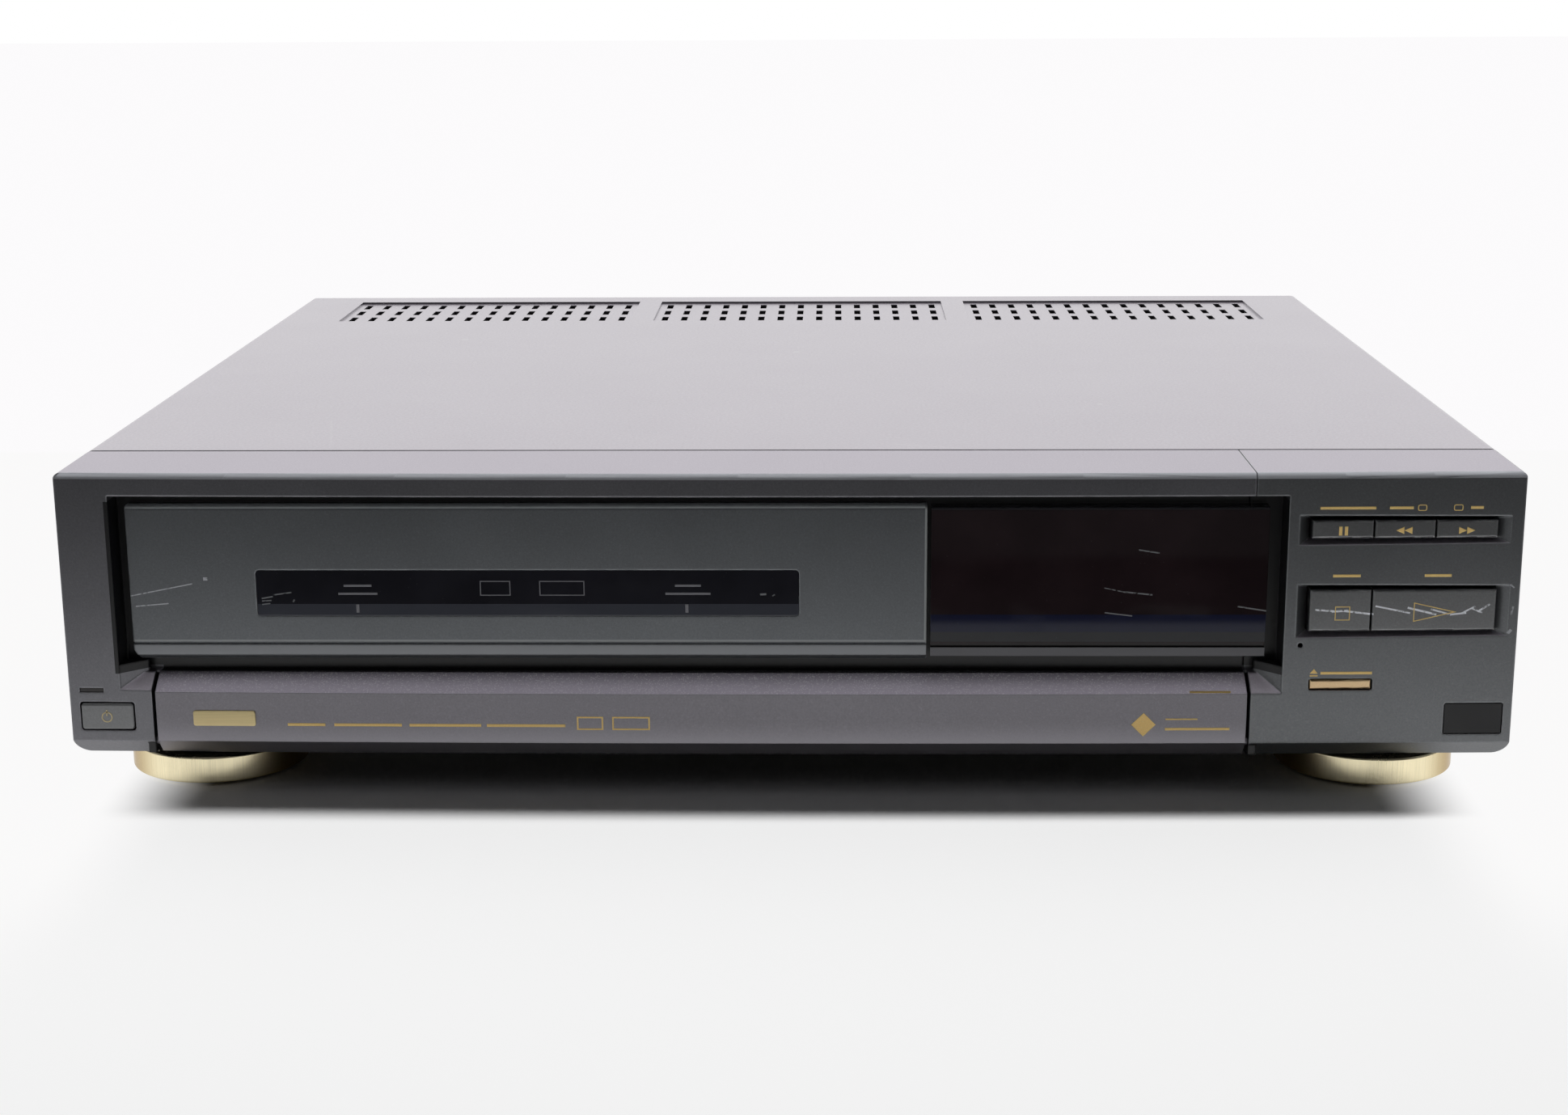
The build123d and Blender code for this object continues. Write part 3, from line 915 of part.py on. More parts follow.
def head_drum():
    """Spinning upper drum with its shaft and the ring of the rotary transformer."""
    z0 = DRUM_LOWER / 2 + DRUM_SPLIT
    upper = Pos(0, 0, z0 + DRUM_HALF / 2) * Cylinder(DRUM_RADIUS, DRUM_HALF)
    upper -= Pos(0, 0, z0 + DRUM_HALF) * Cylinder(DRUM_RADIUS - DRUM_DISH, DRUM_DISH_DEEP)
    upper += Pos(0, 0, z0 + DRUM_HALF - DRUM_DISH_DEEP / 3) * Cylinder(DRUM_HUB, DRUM_DISH_DEEP)
    shaft = Pos(0, 0, z0 / 2 - DRUM_SHAFT) * Cylinder(DRUM_SHAFT, z0 + DRUM_LOWER)
    for turn in (0, 180):
        upper -= Rot(0, 0, turn) * Pos(DRUM_RADIUS, 0, z0) * Box(*HEAD_NOTCH)
    return tilted(upper + shaft)


def capstan():
    """Capstan shaft and its flywheel in one turning piece."""
    low = DECK_Z + FLYWHEEL_Z0
    high = low + FLYWHEEL_THICK
    wheel = post(CAPSTAN_X, CAPSTAN_DEPTH, low, high, FLYWHEEL_RADIUS)
    wheel -= post(CAPSTAN_X, CAPSTAN_DEPTH, low + FLYWHEEL_WEB, high + OVER, FLYWHEEL_RADIUS - FLYWHEEL_RIM)
    wheel += post(CAPSTAN_X, CAPSTAN_DEPTH, low, high + OVER, FLYWHEEL_WEB)
    return wheel + post(CAPSTAN_X, CAPSTAN_DEPTH, low - 0.5, CAPSTAN_TOP, CAPSTAN_RADIUS)


def capstan_motor():
    """Bearing sleeve and stator plate of the capstan motor."""
    x, depth = CAPSTAN_X, CAPSTAN_DEPTH
    stator_z = PAN_TOPSIDE + STATOR_GAP
    (sleeve, rise), (flange, thick), (wide, wall, arm) = CAPSTAN_SLEEVE, CAPSTAN_FLANGE, BRIDGE
    motor = post(x, depth, DECK_Z - thick, DECK_TOP + rise, sleeve) + post(x, depth, DECK_Z - thick, DECK_Z, flange)
    reach = FLYWHEEL_RADIUS + 2 * wall
    for side in (-1, 1):
        motor += block(x - wide, x + wide, *sorted((depth + side * (reach - wall), depth + side * (reach + wall))),
                       PAN_TOPSIDE, DECK_Z)
        motor += block(x - arm, x + arm, *sorted((depth, depth + side * reach)), DECK_Z - thick, DECK_Z)
    motor += block(x - STATOR_HALF, x + STATOR_HALF, depth - reach, depth + reach, stator_z, stator_z + STATOR_THICK)
    return motor - post(x, depth, stator_z + STATOR_THICK, CAPSTAN_TOP, CAPSTAN_RADIUS + SEAT)


def pinch_places():
    """Roller's centre at rest, and the arm's length."""
    meet = (PINCH_RADIUS + CAPSTAN_RADIUS + PINCH_GAP)
    touch = (CAPSTAN_X + meet * cos(radians(PINCH_ANGLE)), CAPSTAN_DEPTH + meet * sin(radians(PINCH_ANGLE)))
    run, rise = touch[0] - PINCH_PIVOT[0], touch[1] - PINCH_PIVOT[1]
    turn = atan2(rise, run) - radians(PINCH_SWING)
    length = hypot(run, rise)
    return (PINCH_PIVOT[0] + length * cos(turn), PINCH_PIVOT[1] + length * sin(turn)), length


def pinch_arm():
    """Lever with a pin for the pinch roller."""
    (x, depth), length = pinch_places()
    px, pd = PINCH_PIVOT
    z0 = DECK_TOP + EASE
    turn = degrees(atan2(depth - pd, x - px))
    low, high = PINCH_WEB
    web = Pos((x + px) / 2, NOSE_Y + (depth + pd) / 2) * Rot(0, 0, turn) * SlotCenterToCenter(length, 2 * low)
    arm = upright(web, z0 + low, z0 + high) + post(px, pd, z0, z0 + high + low, PINCH_BOSS)
    arm += post(x, depth, z0 + low, z0 + PINCH_PIN_TOP, REEL_POST)
    return arm - post(px, pd, DECK_Z, z0 + PINCH_PIN_TOP, CAPSTAN_RADIUS + SEAT)


def pinch_roller():
    """Rubber roller on the arm's pin."""
    (x, depth), _ = pinch_places()
    z0 = DECK_TOP + PINCH_WEB[1] + 2 * EASE
    z1 = z0 + PINCH_LENGTH
    return post(x, depth, z0, z1, PINCH_RADIUS) - post(x, depth, z0 - OVER, z1 + OVER, REEL_POST + SEAT)


def tape_guide(side):
    """Guide carriage with an upright roller and a leaning pin."""
    (x, depth), _ = guide_line(side)
    z0 = DECK_TOP + EASE
    top, foot = z0 + GUIDE_TOP, DECK_Z - 3
    guide = fused([post(x, depth, z0, z0 + GUIDE_BASE_THICK, GUIDE_BASE), post(x, depth, z0, top, GUIDE_POST),
                   post(x, depth, top - 2, top, GUIDE_POST + GUIDE_CAP),
                   post(x, depth, foot, z0 + OVER, GUIDE_KEY),
                   post(x, depth, foot, DECK_Z - EASE, GUIDE_KEY + GUIDE_KEY_DISC)])
    across, along, lean, radius, long = GUIDE_PIN
    pin = Pos(x + side * across, NOSE_Y + depth + along, z0 + long / 2 + 2) * Rot(0, side * lean, 0)
    return guide + pin * Cylinder(radius, long)


def audio_head():
    """Sound and control head on its bracket."""
    x, depth = PINCH_PIVOT[0] + HEAD_OFFSET[0], PINCH_PIVOT[1] + HEAD_OFFSET[1]
    bracket = block(x - 8, x + 8, depth - 6, depth + 6, DECK_TOP, DECK_TOP + 1.5)
    bracket += block(x - 2, x + 6, depth - 4, depth + 4, DECK_TOP + 1, DECK_TOP + 12)
    return bracket + fillet(block(x - 6, x + 6, depth - 5, depth + 5, DECK_TOP + 11, DECK_TOP + 26).edges()
                            .filter_by(Axis.Z), 2)


# ---------------------------------------------------------------- housing
def vent_centres():
    """Centres of the three sunk vent panels across the cover."""
    return -VENT_BLOCK_X, 0.0, VENT_BLOCK_X


def vent_box():
    """Size of a sunk vent panel along X and Y."""
    wide = (VENT_COLUMNS - 1) * VENT_PITCH_X + VENT_SLOT[0] + 2 * VENT_MARGIN[0]
    return wide, (VENT_ROWS - 1) * VENT_PITCH_Y + VENT_SLOT[1] + 2 * VENT_MARGIN[1]


def top_cover():
    """Folded steel cover with three sunk, slotted panels near the rear."""
    d0, d1 = PAN_FRONT, CABINET_DEPTH
    low = FOOT_HEIGHT + 2.0
    outer = block(-HALF, HALF, d0, d1, low, CABINET_HEIGHT)
    outer = fillet(outer.edges().filter_by(Axis.Y).group_by(Axis.Z)[-1], COVER_BEND)
    inner = block(-HALF + SHEET, HALF - SHEET, d0 - OVER, d1 + OVER, low - OVER, COVER_UNDER)
    inner = fillet(inner.edges().filter_by(Axis.Y).group_by(Axis.Z)[-1], COVER_BEND - SHEET)
    cover = outer - inner
    wide, long = vent_box()
    middle = VENT_REAR - long / 2
    top, slots = CABINET_HEIGHT, []
    for centre in vent_centres():
        x0, x1 = centre - wide / 2, centre + wide / 2
        cover += block(x0 - SHEET, x1 + SHEET, VENT_REAR - long - SHEET, VENT_REAR + SHEET,
                       top - SHEET - VENT_SUNK, top - SHEET + 0.1)
        cover -= block(x0, x1, VENT_REAR - long, VENT_REAR, top - VENT_SUNK, top + OVER)
        for column in range(VENT_COLUMNS):
            for row in range(VENT_ROWS):
                x = centre + (column - (VENT_COLUMNS - 1) / 2) * VENT_PITCH_X
                depth = middle + (row - (VENT_ROWS - 1) / 2) * VENT_PITCH_Y
                slots.append(block(x - VENT_SLOT[0] / 2, x + VENT_SLOT[0] / 2, depth - VENT_SLOT[1] / 2,
                                   depth + VENT_SLOT[1] / 2, top - 5, top + OVER))
    cover = cover - slots
    for x, z, depth in cover_screw_places():
        cover -= cross_bar(x - 3, x + 3, depth, z, SCREW_HOLE)
    return cover


def cover_screw_places():
    """Side screws of the cover: x, height and depth."""
    return [(side * HALF, COVER_SCREW_Z, depth) for side in (-1, 1) for depth in COVER_SCREW_DEPTHS]


def cover_screws():
    """Four cross-head screws through the cover's sides into the pan's flanges."""
    screws = []
    for x, z, depth in cover_screw_places():
        side = 1 if x > 0 else -1
        head = cross_bar(*sorted((x, x + side * SCREW_HEAD_THICK)), depth, z, SCREW_HEAD)
        head = fillet(head.edges().sort_by(Axis.X)[-1 if side > 0 else 0], SCREW_HEAD_THICK / 2)
        shank = cross_bar(*sorted((x - side * SCREW_REACH, x + side * EASE)), depth, z, SCREW_SHANK)
        long, wide, floor = SCREW_CROSS
        span = sorted((x + side * floor, x + side * (SCREW_HEAD_THICK + OVER)))
        cross = block(*span, depth - long, depth + long, z - wide, z + wide)
        screws.append(head + shank - cross - block(*span, depth - wide, depth + wide, z - long, z + long))
    return screws


def bottom_pan():
    """Steel pan with folded flanges, pressed ribs and board pillars."""
    half = HALF - SHEET - EASE
    d0, d1 = PAN_FRONT, REAR_PANEL - EASE
    pan = block(-half, half, d0, d1, FOOT_HEIGHT, PAN_TOPSIDE)
    for side in (-1, 1):
        pan += block(*sorted((side * half, side * (half - SHEET))), d0, d1, FOOT_HEIGHT, PAN_SIDE_TOP)
    pan += block(-half, half, d0, d0 + SHEET, FOOT_HEIGHT, PAN_TOPSIDE + PAN_FLANGE)
    pan += block(-half, half, d1 - SHEET, d1, FOOT_HEIGHT, PAN_TOPSIDE + PAN_FLANGE)
    for x0, x1, a, b in (MAIN_BOARD, POWER_BOARD):
        for x in (x0 + PILLAR_INSET, x1 - PILLAR_INSET):
            for depth in (a + PILLAR_INSET, b - PILLAR_INSET):
                pan += post(x, depth, FOOT_HEIGHT, BOARD_Z, PILLAR_RADIUS)
    for x in PAN_SLOTS:
        for row in range(PAN_SLOT_ROWS):
            depth = PAN_SLOT_FRONT + PAN_SLOT_PITCH * row
            pan -= block(x - PAN_SLOT_HALF, x + PAN_SLOT_HALF, depth, depth + PAN_SLOT_WIDE,
                         FOOT_HEIGHT - OVER, PAN_TOPSIDE + OVER)
    for x, z, depth in cover_screw_places():
        pan -= cross_bar(x - 3, x + 3, depth, z, SCREW_SHANK + SEAT)
    return pan


def rear_panel():
    """Back plate pierced for the terminals and the mains inlet."""
    half = HALF - SHEET - EASE
    d0, d1 = REAR_PANEL - OVER, PANEL_BACK + OVER
    panel = block(-half, half, REAR_PANEL, PANEL_BACK, FOOT_HEIGHT, COVER_UNDER - EASE)
    panel = fillet(panel.edges().filter_by(Axis.Y).group_by(Axis.Z)[-1], COVER_BEND)
    wide, high = INLET_BODY[0] + EASE, INLET_BODY[1] + EASE
    panel -= slab(rectangle(INLET_X - wide, INLET_X + wide, INLET_Z - high, INLET_Z + high), d0, d1)
    for x in AERIAL_XS:
        panel -= bar(x, AERIAL_Z, d0, d1, AERIAL_RADIUS + JACK_COLLAR + EASE)
    for x in LINE_XS:
        for z in LINE_ZS:
            panel -= bar(x, z, d0, d1, JACK_RADIUS + JACK_COLLAR + EASE)
    for row in range(REAR_LOUVRES):
        z = LOUVRE_Z + LOUVRE_PITCH * row
        panel -= slab(rectangle(*LOUVRE_SPAN, z, z + LOUVRE_HIGH), d0, d1)
    return panel


def terminal(x, z, root, end, radius):
    """Socket ring with the collar that fills its hole and a groove between them."""
    collar = PANEL_BACK + COLLAR_PROUD
    return fused([bar(x, z, root, collar, radius + JACK_COLLAR),
                  bar(x, z, collar - 0.1, collar + NECK_LONG + 0.1, radius - NECK_DEEP),
                  bar(x, z, collar + NECK_LONG, end, radius)])


def line_jacks():
    """Block of phono sockets for picture and sound at the rear."""
    wide, high, deep = LINE_BLOCK
    d0, end = REAR_PANEL - deep, CABINET_DEPTH + TERMINAL_PROUD
    low = LINE_ZS[0] - high
    jacks = block(LINE_XS[0] - wide, LINE_XS[-1] + wide, d0, REAR_PANEL - SEAT, low, LINE_ZS[-1] + high)
    places = [(x, z) for x in LINE_XS for z in LINE_ZS]
    for x, z in places:
        jacks += terminal(x, z, REAR_PANEL - 1, end - LINE_SHORT, JACK_RADIUS)
    for x, z in places:
        jacks -= bar(x, z, REAR_PANEL, end, JACK_BORE)
    return jacks + block(LINE_XS[0] - 5, LINE_XS[0] - 3, d0 + 3, d0 + 9, PAN_TOPSIDE, low + 0.1)


def tuner_module():
    """Screened aerial box with two threaded sockets."""
    x0, x1, a, b = TUNER
    end = CABINET_DEPTH + TERMINAL_PROUD
    can = block(x0, x1, a, b, PAN_TOPSIDE + PAN_FLANGE + EASE, TUNER_TOP)
    can = fillet(can.edges().filter_by(Axis.Z), TUNER_EDGE)
    for x in AERIAL_XS:
        can += terminal(x, AERIAL_Z, b - 1, end, AERIAL_RADIUS)
    for x in AERIAL_XS:
        can -= bar(x, AERIAL_Z, b + 2, end + OVER, AERIAL_RADIUS - AERIAL_WALL)
        can += bar(x, AERIAL_Z, b + 1, end - 3, AERIAL_PIN)
    return can


def mains_inlet():
    """Two-pin mains inlet without its cord."""
    x, z = INLET_X, INLET_Z
    mouth = PANEL_BACK + 0.5
    wide, high = INLET_BODY
    body = slab(rectangle(x - wide, x + wide, z - high, z + high, INLET_CORNER), REAR_PANEL - INLET_DEEP, mouth)
    wide, high = INLET_FLANGE
    body += slab(rectangle(x - wide, x + wide, z - high, z + high, INLET_CORNER), REAR_PANEL - 2.5, REAR_PANEL - SEAT)
    recess = SlotCenterToCenter(INLET_PITCH, INLET_MOUTH)
    body -= slab(Pos(x, z) * recess, mouth - INLET_RECESS, mouth + OVER)
    for side in (-1, 1):
        body += bar(x + side * INLET_PITCH / 2, z, mouth - INLET_RECESS - 1, mouth - 1, INLET_PIN)
    return body


def main_board():
    """Signal board with its chips and connectors."""
    x0, x1, a, b = MAIN_BOARD
    z, across, along = BOARD_FACE, x1 - x0, b - a
    board = block(x0, x1, a, b, BOARD_Z, z)
    for right, back, wide, long, tall in CHIPS:
        x, depth = x0 + right * across, a + back * along
        wide, long = wide * across / 2, long * along / 2
        board += block(x - wide, x + wide, depth - long, depth + long, z - 0.1, z + tall)
    for number in range(CAN_COUNT):
        x = x0 + across * (CAN_START + CAN_STEP * number)
        board += post(x, a + CAN_ROW * along, z - 0.1, z + CAN_HEIGHT, CAN_RADIUS)
    return board


def power_board():
    """Supply board with its reservoir capacitors."""
    x0, x1, a, b = POWER_BOARD
    board = block(x0, x1, a, b, BOARD_Z, BOARD_FACE)
    for right, back, radius, tall in RESERVOIRS:
        board += post(x0 + right, a + back, BOARD_FACE - 0.1, BOARD_FACE + tall, radius)
    left, right, front, back, tall = SUPPLY_PLUG
    return board + block(x0 + left, x0 + right, a + front, a + back, BOARD_FACE - 0.1, BOARD_FACE + tall)


def transformer():
    """Mains transformer: laminated core round a wound bobbin."""
    (x, depth), z = TRANSFORMER_PLACE, BOARD_FACE
    wide, long = CORE_HALF
    core = block(x - wide, x + wide, depth - long, depth + long, z, z + CORE_HEIGHT)
    wide, long = BOBBIN_HALF
    bobbin = block(x - wide, x + wide, depth - long, depth + long, z + BOBBIN_INSET, z + CORE_HEIGHT - BOBBIN_INSET)
    return core + fillet(bobbin.edges().filter_by(Axis.Z), BOBBIN_EDGE)


def heat_sink():
    """Finned aluminium sink with the regulators' back plate."""
    x, depth = POWER_BOARD[0] + SINK_PLACE[0], POWER_BOARD[2] + SINK_PLACE[1]
    z0, z1 = BOARD_FACE, BOARD_FACE + SINK_HEIGHT
    sink = block(x, x + SINK_BACK, depth, depth + SINK_LONG, z0, z1)
    pitch = (SINK_LONG - SINK_FIN) / (SINK_FINS - 1)
    for number in range(SINK_FINS):
        fin = depth + pitch * number
        sink += block(x + SINK_BACK - 0.1, x + SINK_REACH, fin, fin + SINK_FIN, z0, z1)
    return sink


# ---------------------------------------------------------------- feet
def foot_ring(side):
    """Gold shell of a front foot."""
    x = side * FOOT_X
    ring = post(x, FOOT_DEPTH, FOOT_RING_Z0, FOOT_RING_Z1, FOOT_RADIUS)
    ring = fillet(ring.edges().filter_by(GeomType.CIRCLE), FOOT_EDGE)
    ring -= post(x, FOOT_DEPTH, FOOT_RING_Z0 - OVER, FOOT_RING_Z1 - FOOT_RING_TOP, FOOT_RADIUS - FOOT_RING_WALL)
    return ring - post(x, FOOT_DEPTH, FOOT_RING_Z0, FOOT_RING_Z1 + OVER, FOOT_NECK + SEAT)


def foot_base(side):
    """Black core of a front foot, from the cabinet down to the table."""
    x = side * FOOT_X
    top = FOOT_RING_Z1 - FOOT_RING_TOP - SEAT
    core = post(x, FOOT_DEPTH, 0, top, FOOT_PAD)
    core = fillet(core.edges().filter_by(GeomType.CIRCLE).sort_by(Axis.Z)[0], FOOT_EDGE)
    return core + post(x, FOOT_DEPTH, top - OVER, FOOT_HEIGHT, FOOT_NECK)


def rear_foot(side):
    """Plain round rear foot with a dished sole."""
    x = side * REAR_FOOT_X
    foot = post(x, REAR_FOOT_DEPTH, 0, FOOT_HEIGHT, REAR_FOOT_RADIUS)
    foot = chamfer(foot.edges().filter_by(GeomType.CIRCLE).sort_by(Axis.Z)[0], REAR_FOOT_EDGE)
    return foot - post(x, REAR_FOOT_DEPTH, -OVER, REAR_FOOT_EDGE, REAR_FOOT_RADIUS / 3)


# ---------------------------------------------------------------- all sub-parts
def sub_parts():
    """Every sub-part by its name."""
    fascia, control_panel = front_mouldings()
    left_reel, right_reel = reel_places()
    parts = {
        "top_cover": top_cover(), "cover_screws": Compound(children=cover_screws()),
        "bottom_pan": bottom_pan(), "rear_panel": rear_panel(),
        "fascia": fascia, "control_panel": control_panel,
        "display_window": display_window(), "infrared_window": infrared_window(),
        "power_lamp": power_lamp(), "inner_panel": inner_panel(), "front_jacks": front_jacks(),
        "door_latch": door_latch(), "display_tube": display_tube(), "front_board": front_board(),
        "foot_ring_left": foot_ring(-1), "foot_ring_right": foot_ring(1),
        "foot_base_left": foot_base(-1), "foot_base_right": foot_base(1),
        "rear_foot_left": rear_foot(-1), "rear_foot_right": rear_foot(1),
        "deck_plate": deck_plate(), "tray_rail_left": tray_rail(-1), "tray_rail_right": tray_rail(1),
        "tray_motor": tray_motor(), "tray_belt": tray_belt(), "drum_base": drum_base(),
        "capstan_motor": capstan_motor(), "audio_head": audio_head(),
        "main_board": main_board(), "power_board": power_board(), "transformer": transformer(),
        "heat_sink": heat_sink(), "tuner_module": tuner_module(), "line_jacks": line_jacks(),
        "mains_inlet": mains_inlet(),
        "tray_front": tray_front(), "tray_window": tray_window(), "tray_pan": tray_pan(),
        "tray_rack": tray_rack(), "door": door(), "power_button": power_button(),
        "tracking_down_key": tracking_key(KEY_XS[0]), "tracking_up_key": tracking_key(KEY_XS[1]),
        "tray_drive_gear": tray_drive_gear(), "motor_pulley": motor_pulley(),
        "head_drum": head_drum(), "capstan": capstan(), "pinch_arm": pinch_arm(),
        "pinch_roller": pinch_roller(), "supply_reel": reel_table(left_reel),
        "takeup_reel": reel_table(right_reel), "supply_guide": tape_guide(-1), "takeup_guide": tape_guide(1),
    }
    for name, span in button_spans().items():
        parts[name] = control_button(*span)
    return parts


def main():
    """Write each sub-part to its own STEP file."""
    os.makedirs("parts", exist_ok=True)
    for name, shape in sub_parts().items():
        export_step(shape, f"parts/{name}.step")
        print(name, round(shape.volume, 1))


main()
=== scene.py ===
"""Looks of a tray-loading video cassette recorder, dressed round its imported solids.

X runs to the right as the user faces the recorder, Y to the rear and Z up, in metres.
Sizes in the classes are in millimetres.  A "depth" is measured rearwards from the nose,
the foremost line of the bowed front.
"""
from __future__ import annotations

import json
import logging
import math
from collections.abc import Callable, Sequence
from dataclasses import dataclass
from enum import Enum
from functools import partial, partialmethod
from typing import Protocol

import bpy
from mathutils import Matrix, Vector

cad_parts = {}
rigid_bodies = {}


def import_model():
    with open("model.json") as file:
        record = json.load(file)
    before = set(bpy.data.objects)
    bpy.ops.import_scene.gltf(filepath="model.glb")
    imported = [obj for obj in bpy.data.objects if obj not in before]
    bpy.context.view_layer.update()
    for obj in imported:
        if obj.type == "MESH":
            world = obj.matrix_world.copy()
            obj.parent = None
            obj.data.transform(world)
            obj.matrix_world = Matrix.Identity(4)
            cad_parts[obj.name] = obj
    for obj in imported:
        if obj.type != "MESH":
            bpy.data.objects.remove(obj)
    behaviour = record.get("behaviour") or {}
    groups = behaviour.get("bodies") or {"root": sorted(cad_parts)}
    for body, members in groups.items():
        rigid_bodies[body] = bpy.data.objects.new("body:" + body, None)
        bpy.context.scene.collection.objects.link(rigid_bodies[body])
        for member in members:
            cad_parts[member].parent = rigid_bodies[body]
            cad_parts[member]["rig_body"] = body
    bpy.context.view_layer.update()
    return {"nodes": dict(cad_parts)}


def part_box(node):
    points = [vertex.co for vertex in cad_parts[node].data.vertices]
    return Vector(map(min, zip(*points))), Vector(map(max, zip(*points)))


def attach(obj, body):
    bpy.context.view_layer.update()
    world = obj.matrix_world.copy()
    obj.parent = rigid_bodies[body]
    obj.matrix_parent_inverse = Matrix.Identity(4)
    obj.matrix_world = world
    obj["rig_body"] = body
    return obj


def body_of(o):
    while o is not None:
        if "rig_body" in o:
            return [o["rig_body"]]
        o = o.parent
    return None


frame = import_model()

LOG = logging.getLogger("recorder")
Rgb = tuple[float, float, float]
Pair = tuple[float, float]

# Millimetres: the nose, the depth of the front's bow over half its width, and the top of the cover.
NOSE, BOW, BOW_HALF, TOP = -192.25, 2.5, 218.0, 99.0
# Millimetres: radius of the front's slightly convex profile, and the height where it stands upright.
PROFILE, PROFILE_START = 550.0, 8.0
# Depth at which flat pieces start before they are pressed back onto the front.
AHEAD = -4.0
FACING_FRONT = (math.pi / 2, 0.0, 0.0)


def mm(length: float) -> float:
    """Millimetres as metres."""
    return length / 1000.0


def at(x: float, depth: float, z: float) -> Vector:
    """The point at these millimetres across, behind the nose and above the table."""
    return Vector((mm(x), mm(NOSE + depth), mm(z)))


def srgb(red: float, green: float, blue: float) -> Rgb:
    """A colour as a screen shows it, 0 to 255 a channel, in linear light."""
    shares = (channel / 255.0 for channel in (red, green, blue))
    return tuple(s / 12.92 if s <= 0.04045 else ((s + 0.055) / 1.055) ** 2.4 for s in shares)


def scaled(color: Rgb, share: float) -> Rgb:
    """A linear colour made lighter or darker by a share."""
    return tuple(min(1.0, channel * share) for channel in color)


def every(middle: Vector, normal: Vector) -> bool:
    """A choice of faces that takes them all."""
    return True


# ------------------------------------------------------------------ shader graphs
class Socket:
    """An output in a shader graph that can stand in a sum."""

    def __init__(self, graph: Graph, link: bpy.types.NodeSocket) -> None:
        """Keep the graph and the output."""
        self.graph = graph
        self.link = link

    def named(self, output: str) -> Socket:
        """Another output of the same node."""
        return Socket(self.graph, self.link.node.outputs[output])

    def combined(self, operation: str, *others: Socket | float) -> Socket:
        """This value and others put through a Math operation."""
        return self.graph.math(operation, self, *others)

    __add__ = __radd__ = partialmethod(combined, "ADD")
    __sub__ = partialmethod(combined, "SUBTRACT")
    __mul__ = __rmul__ = partialmethod(combined, "MULTIPLY")
    __truediv__ = partialmethod(combined, "DIVIDE")
    __abs__ = partialmethod(combined, "ABSOLUTE")
    # 1 where this value is under or over a limit, 0 elsewhere
    below = partialmethod(combined, "LESS_THAN")
    above = partialmethod(combined, "GREATER_THAN")

    def __rsub__(self, other: float) -> Socket:
        """A number less this value."""
        return self.graph.math("SUBTRACT", other, self)

    def between(self, low: float, high: float) -> Socket:
        """1 where this value lies between two limits, 0 elsewhere."""
        return self.above(low) * self.below(high)

    def fade(self, start: float, end: float) -> Socket:
        """A smooth rise from 0 where this value is at the start to 1 where it is at the end."""
        limits = {"Value": self, "From Min": start, "From Max": end}
        return self.graph.node("ShaderNodeMapRange", {"interpolation_type": "SMOOTHSTEP"}, limits)


class Graph:
    """A node tree with short calls that add to it."""

    def __init__(self, owner: bpy.types.Material | bpy.types.World) -> None:
        """Empty the tree.

        Args:
            owner: The material or the world that the tree belongs to.
        """
        owner.use_nodes = True
        self.tree = owner.node_tree
        self.tree.nodes.clear()

    def node(self, kind: str, settings: dict | None = None, inputs: dict | None = None,
             output: str | int = 0) -> Socket:
        """Add a node.

        Args:
            kind: Blender's name of the node's type.
            settings: Values of the node itself, set first.
            inputs: Values or sockets, by the input's name or number.
            output: Name or number of the output to return.

        Returns:
            The chosen output.
        """
        made = self.tree.nodes.new(kind)
        for name, value in (settings or {}).items():
            setattr(made, name, value)
        for name, value in (inputs or {}).items():
            socket = made.inputs[name]
            if isinstance(value, Socket):
                self.tree.links.new(value.link, socket)
            elif socket.type == "RGBA":
                socket.default_value = (*value[:3], 1.0)
            else:
                socket.default_value = value
        return Socket(self, made.outputs[output])

    def math(self, operation: str, *values: Socket | float) -> Socket:
        """A Math node on values or sockets."""
        return self.node("ShaderNodeMath", {"operation": operation}, dict(enumerate(values)))

    def vector(self, operation: str, *values: Socket, output: str = "Vector") -> Socket:
        """A Vector Math node on sockets."""
        return self.node("ShaderNodeVectorMath", {"operation": operation}, dict(enumerate(values)), output)

    def part(self, vector: Socket, axis: str) -> Socket:
        """One coordinate of a vector."""
        return self.node("ShaderNodeSeparateXYZ", {}, {"Vector": vector}, axis)

    def mix(self, share: Socket | float, first: Socket | Rgb, second: Socket | Rgb) -> Socket:
        """Blend two colours: a share of 0 is all the first and 1 all the second."""
        return self.node("ShaderNodeMix", {"data_type": "RGBA"}, {0: share, 6: first, 7: second}, 2)

    def finish(self, shader: Socket, kind: str = "ShaderNodeOutputMaterial") -> None:
        """Join a shader to the tree's output."""
        output = self.tree.nodes.new(kind)
        self.tree.links.new(shader.link, output.inputs["Surface"])


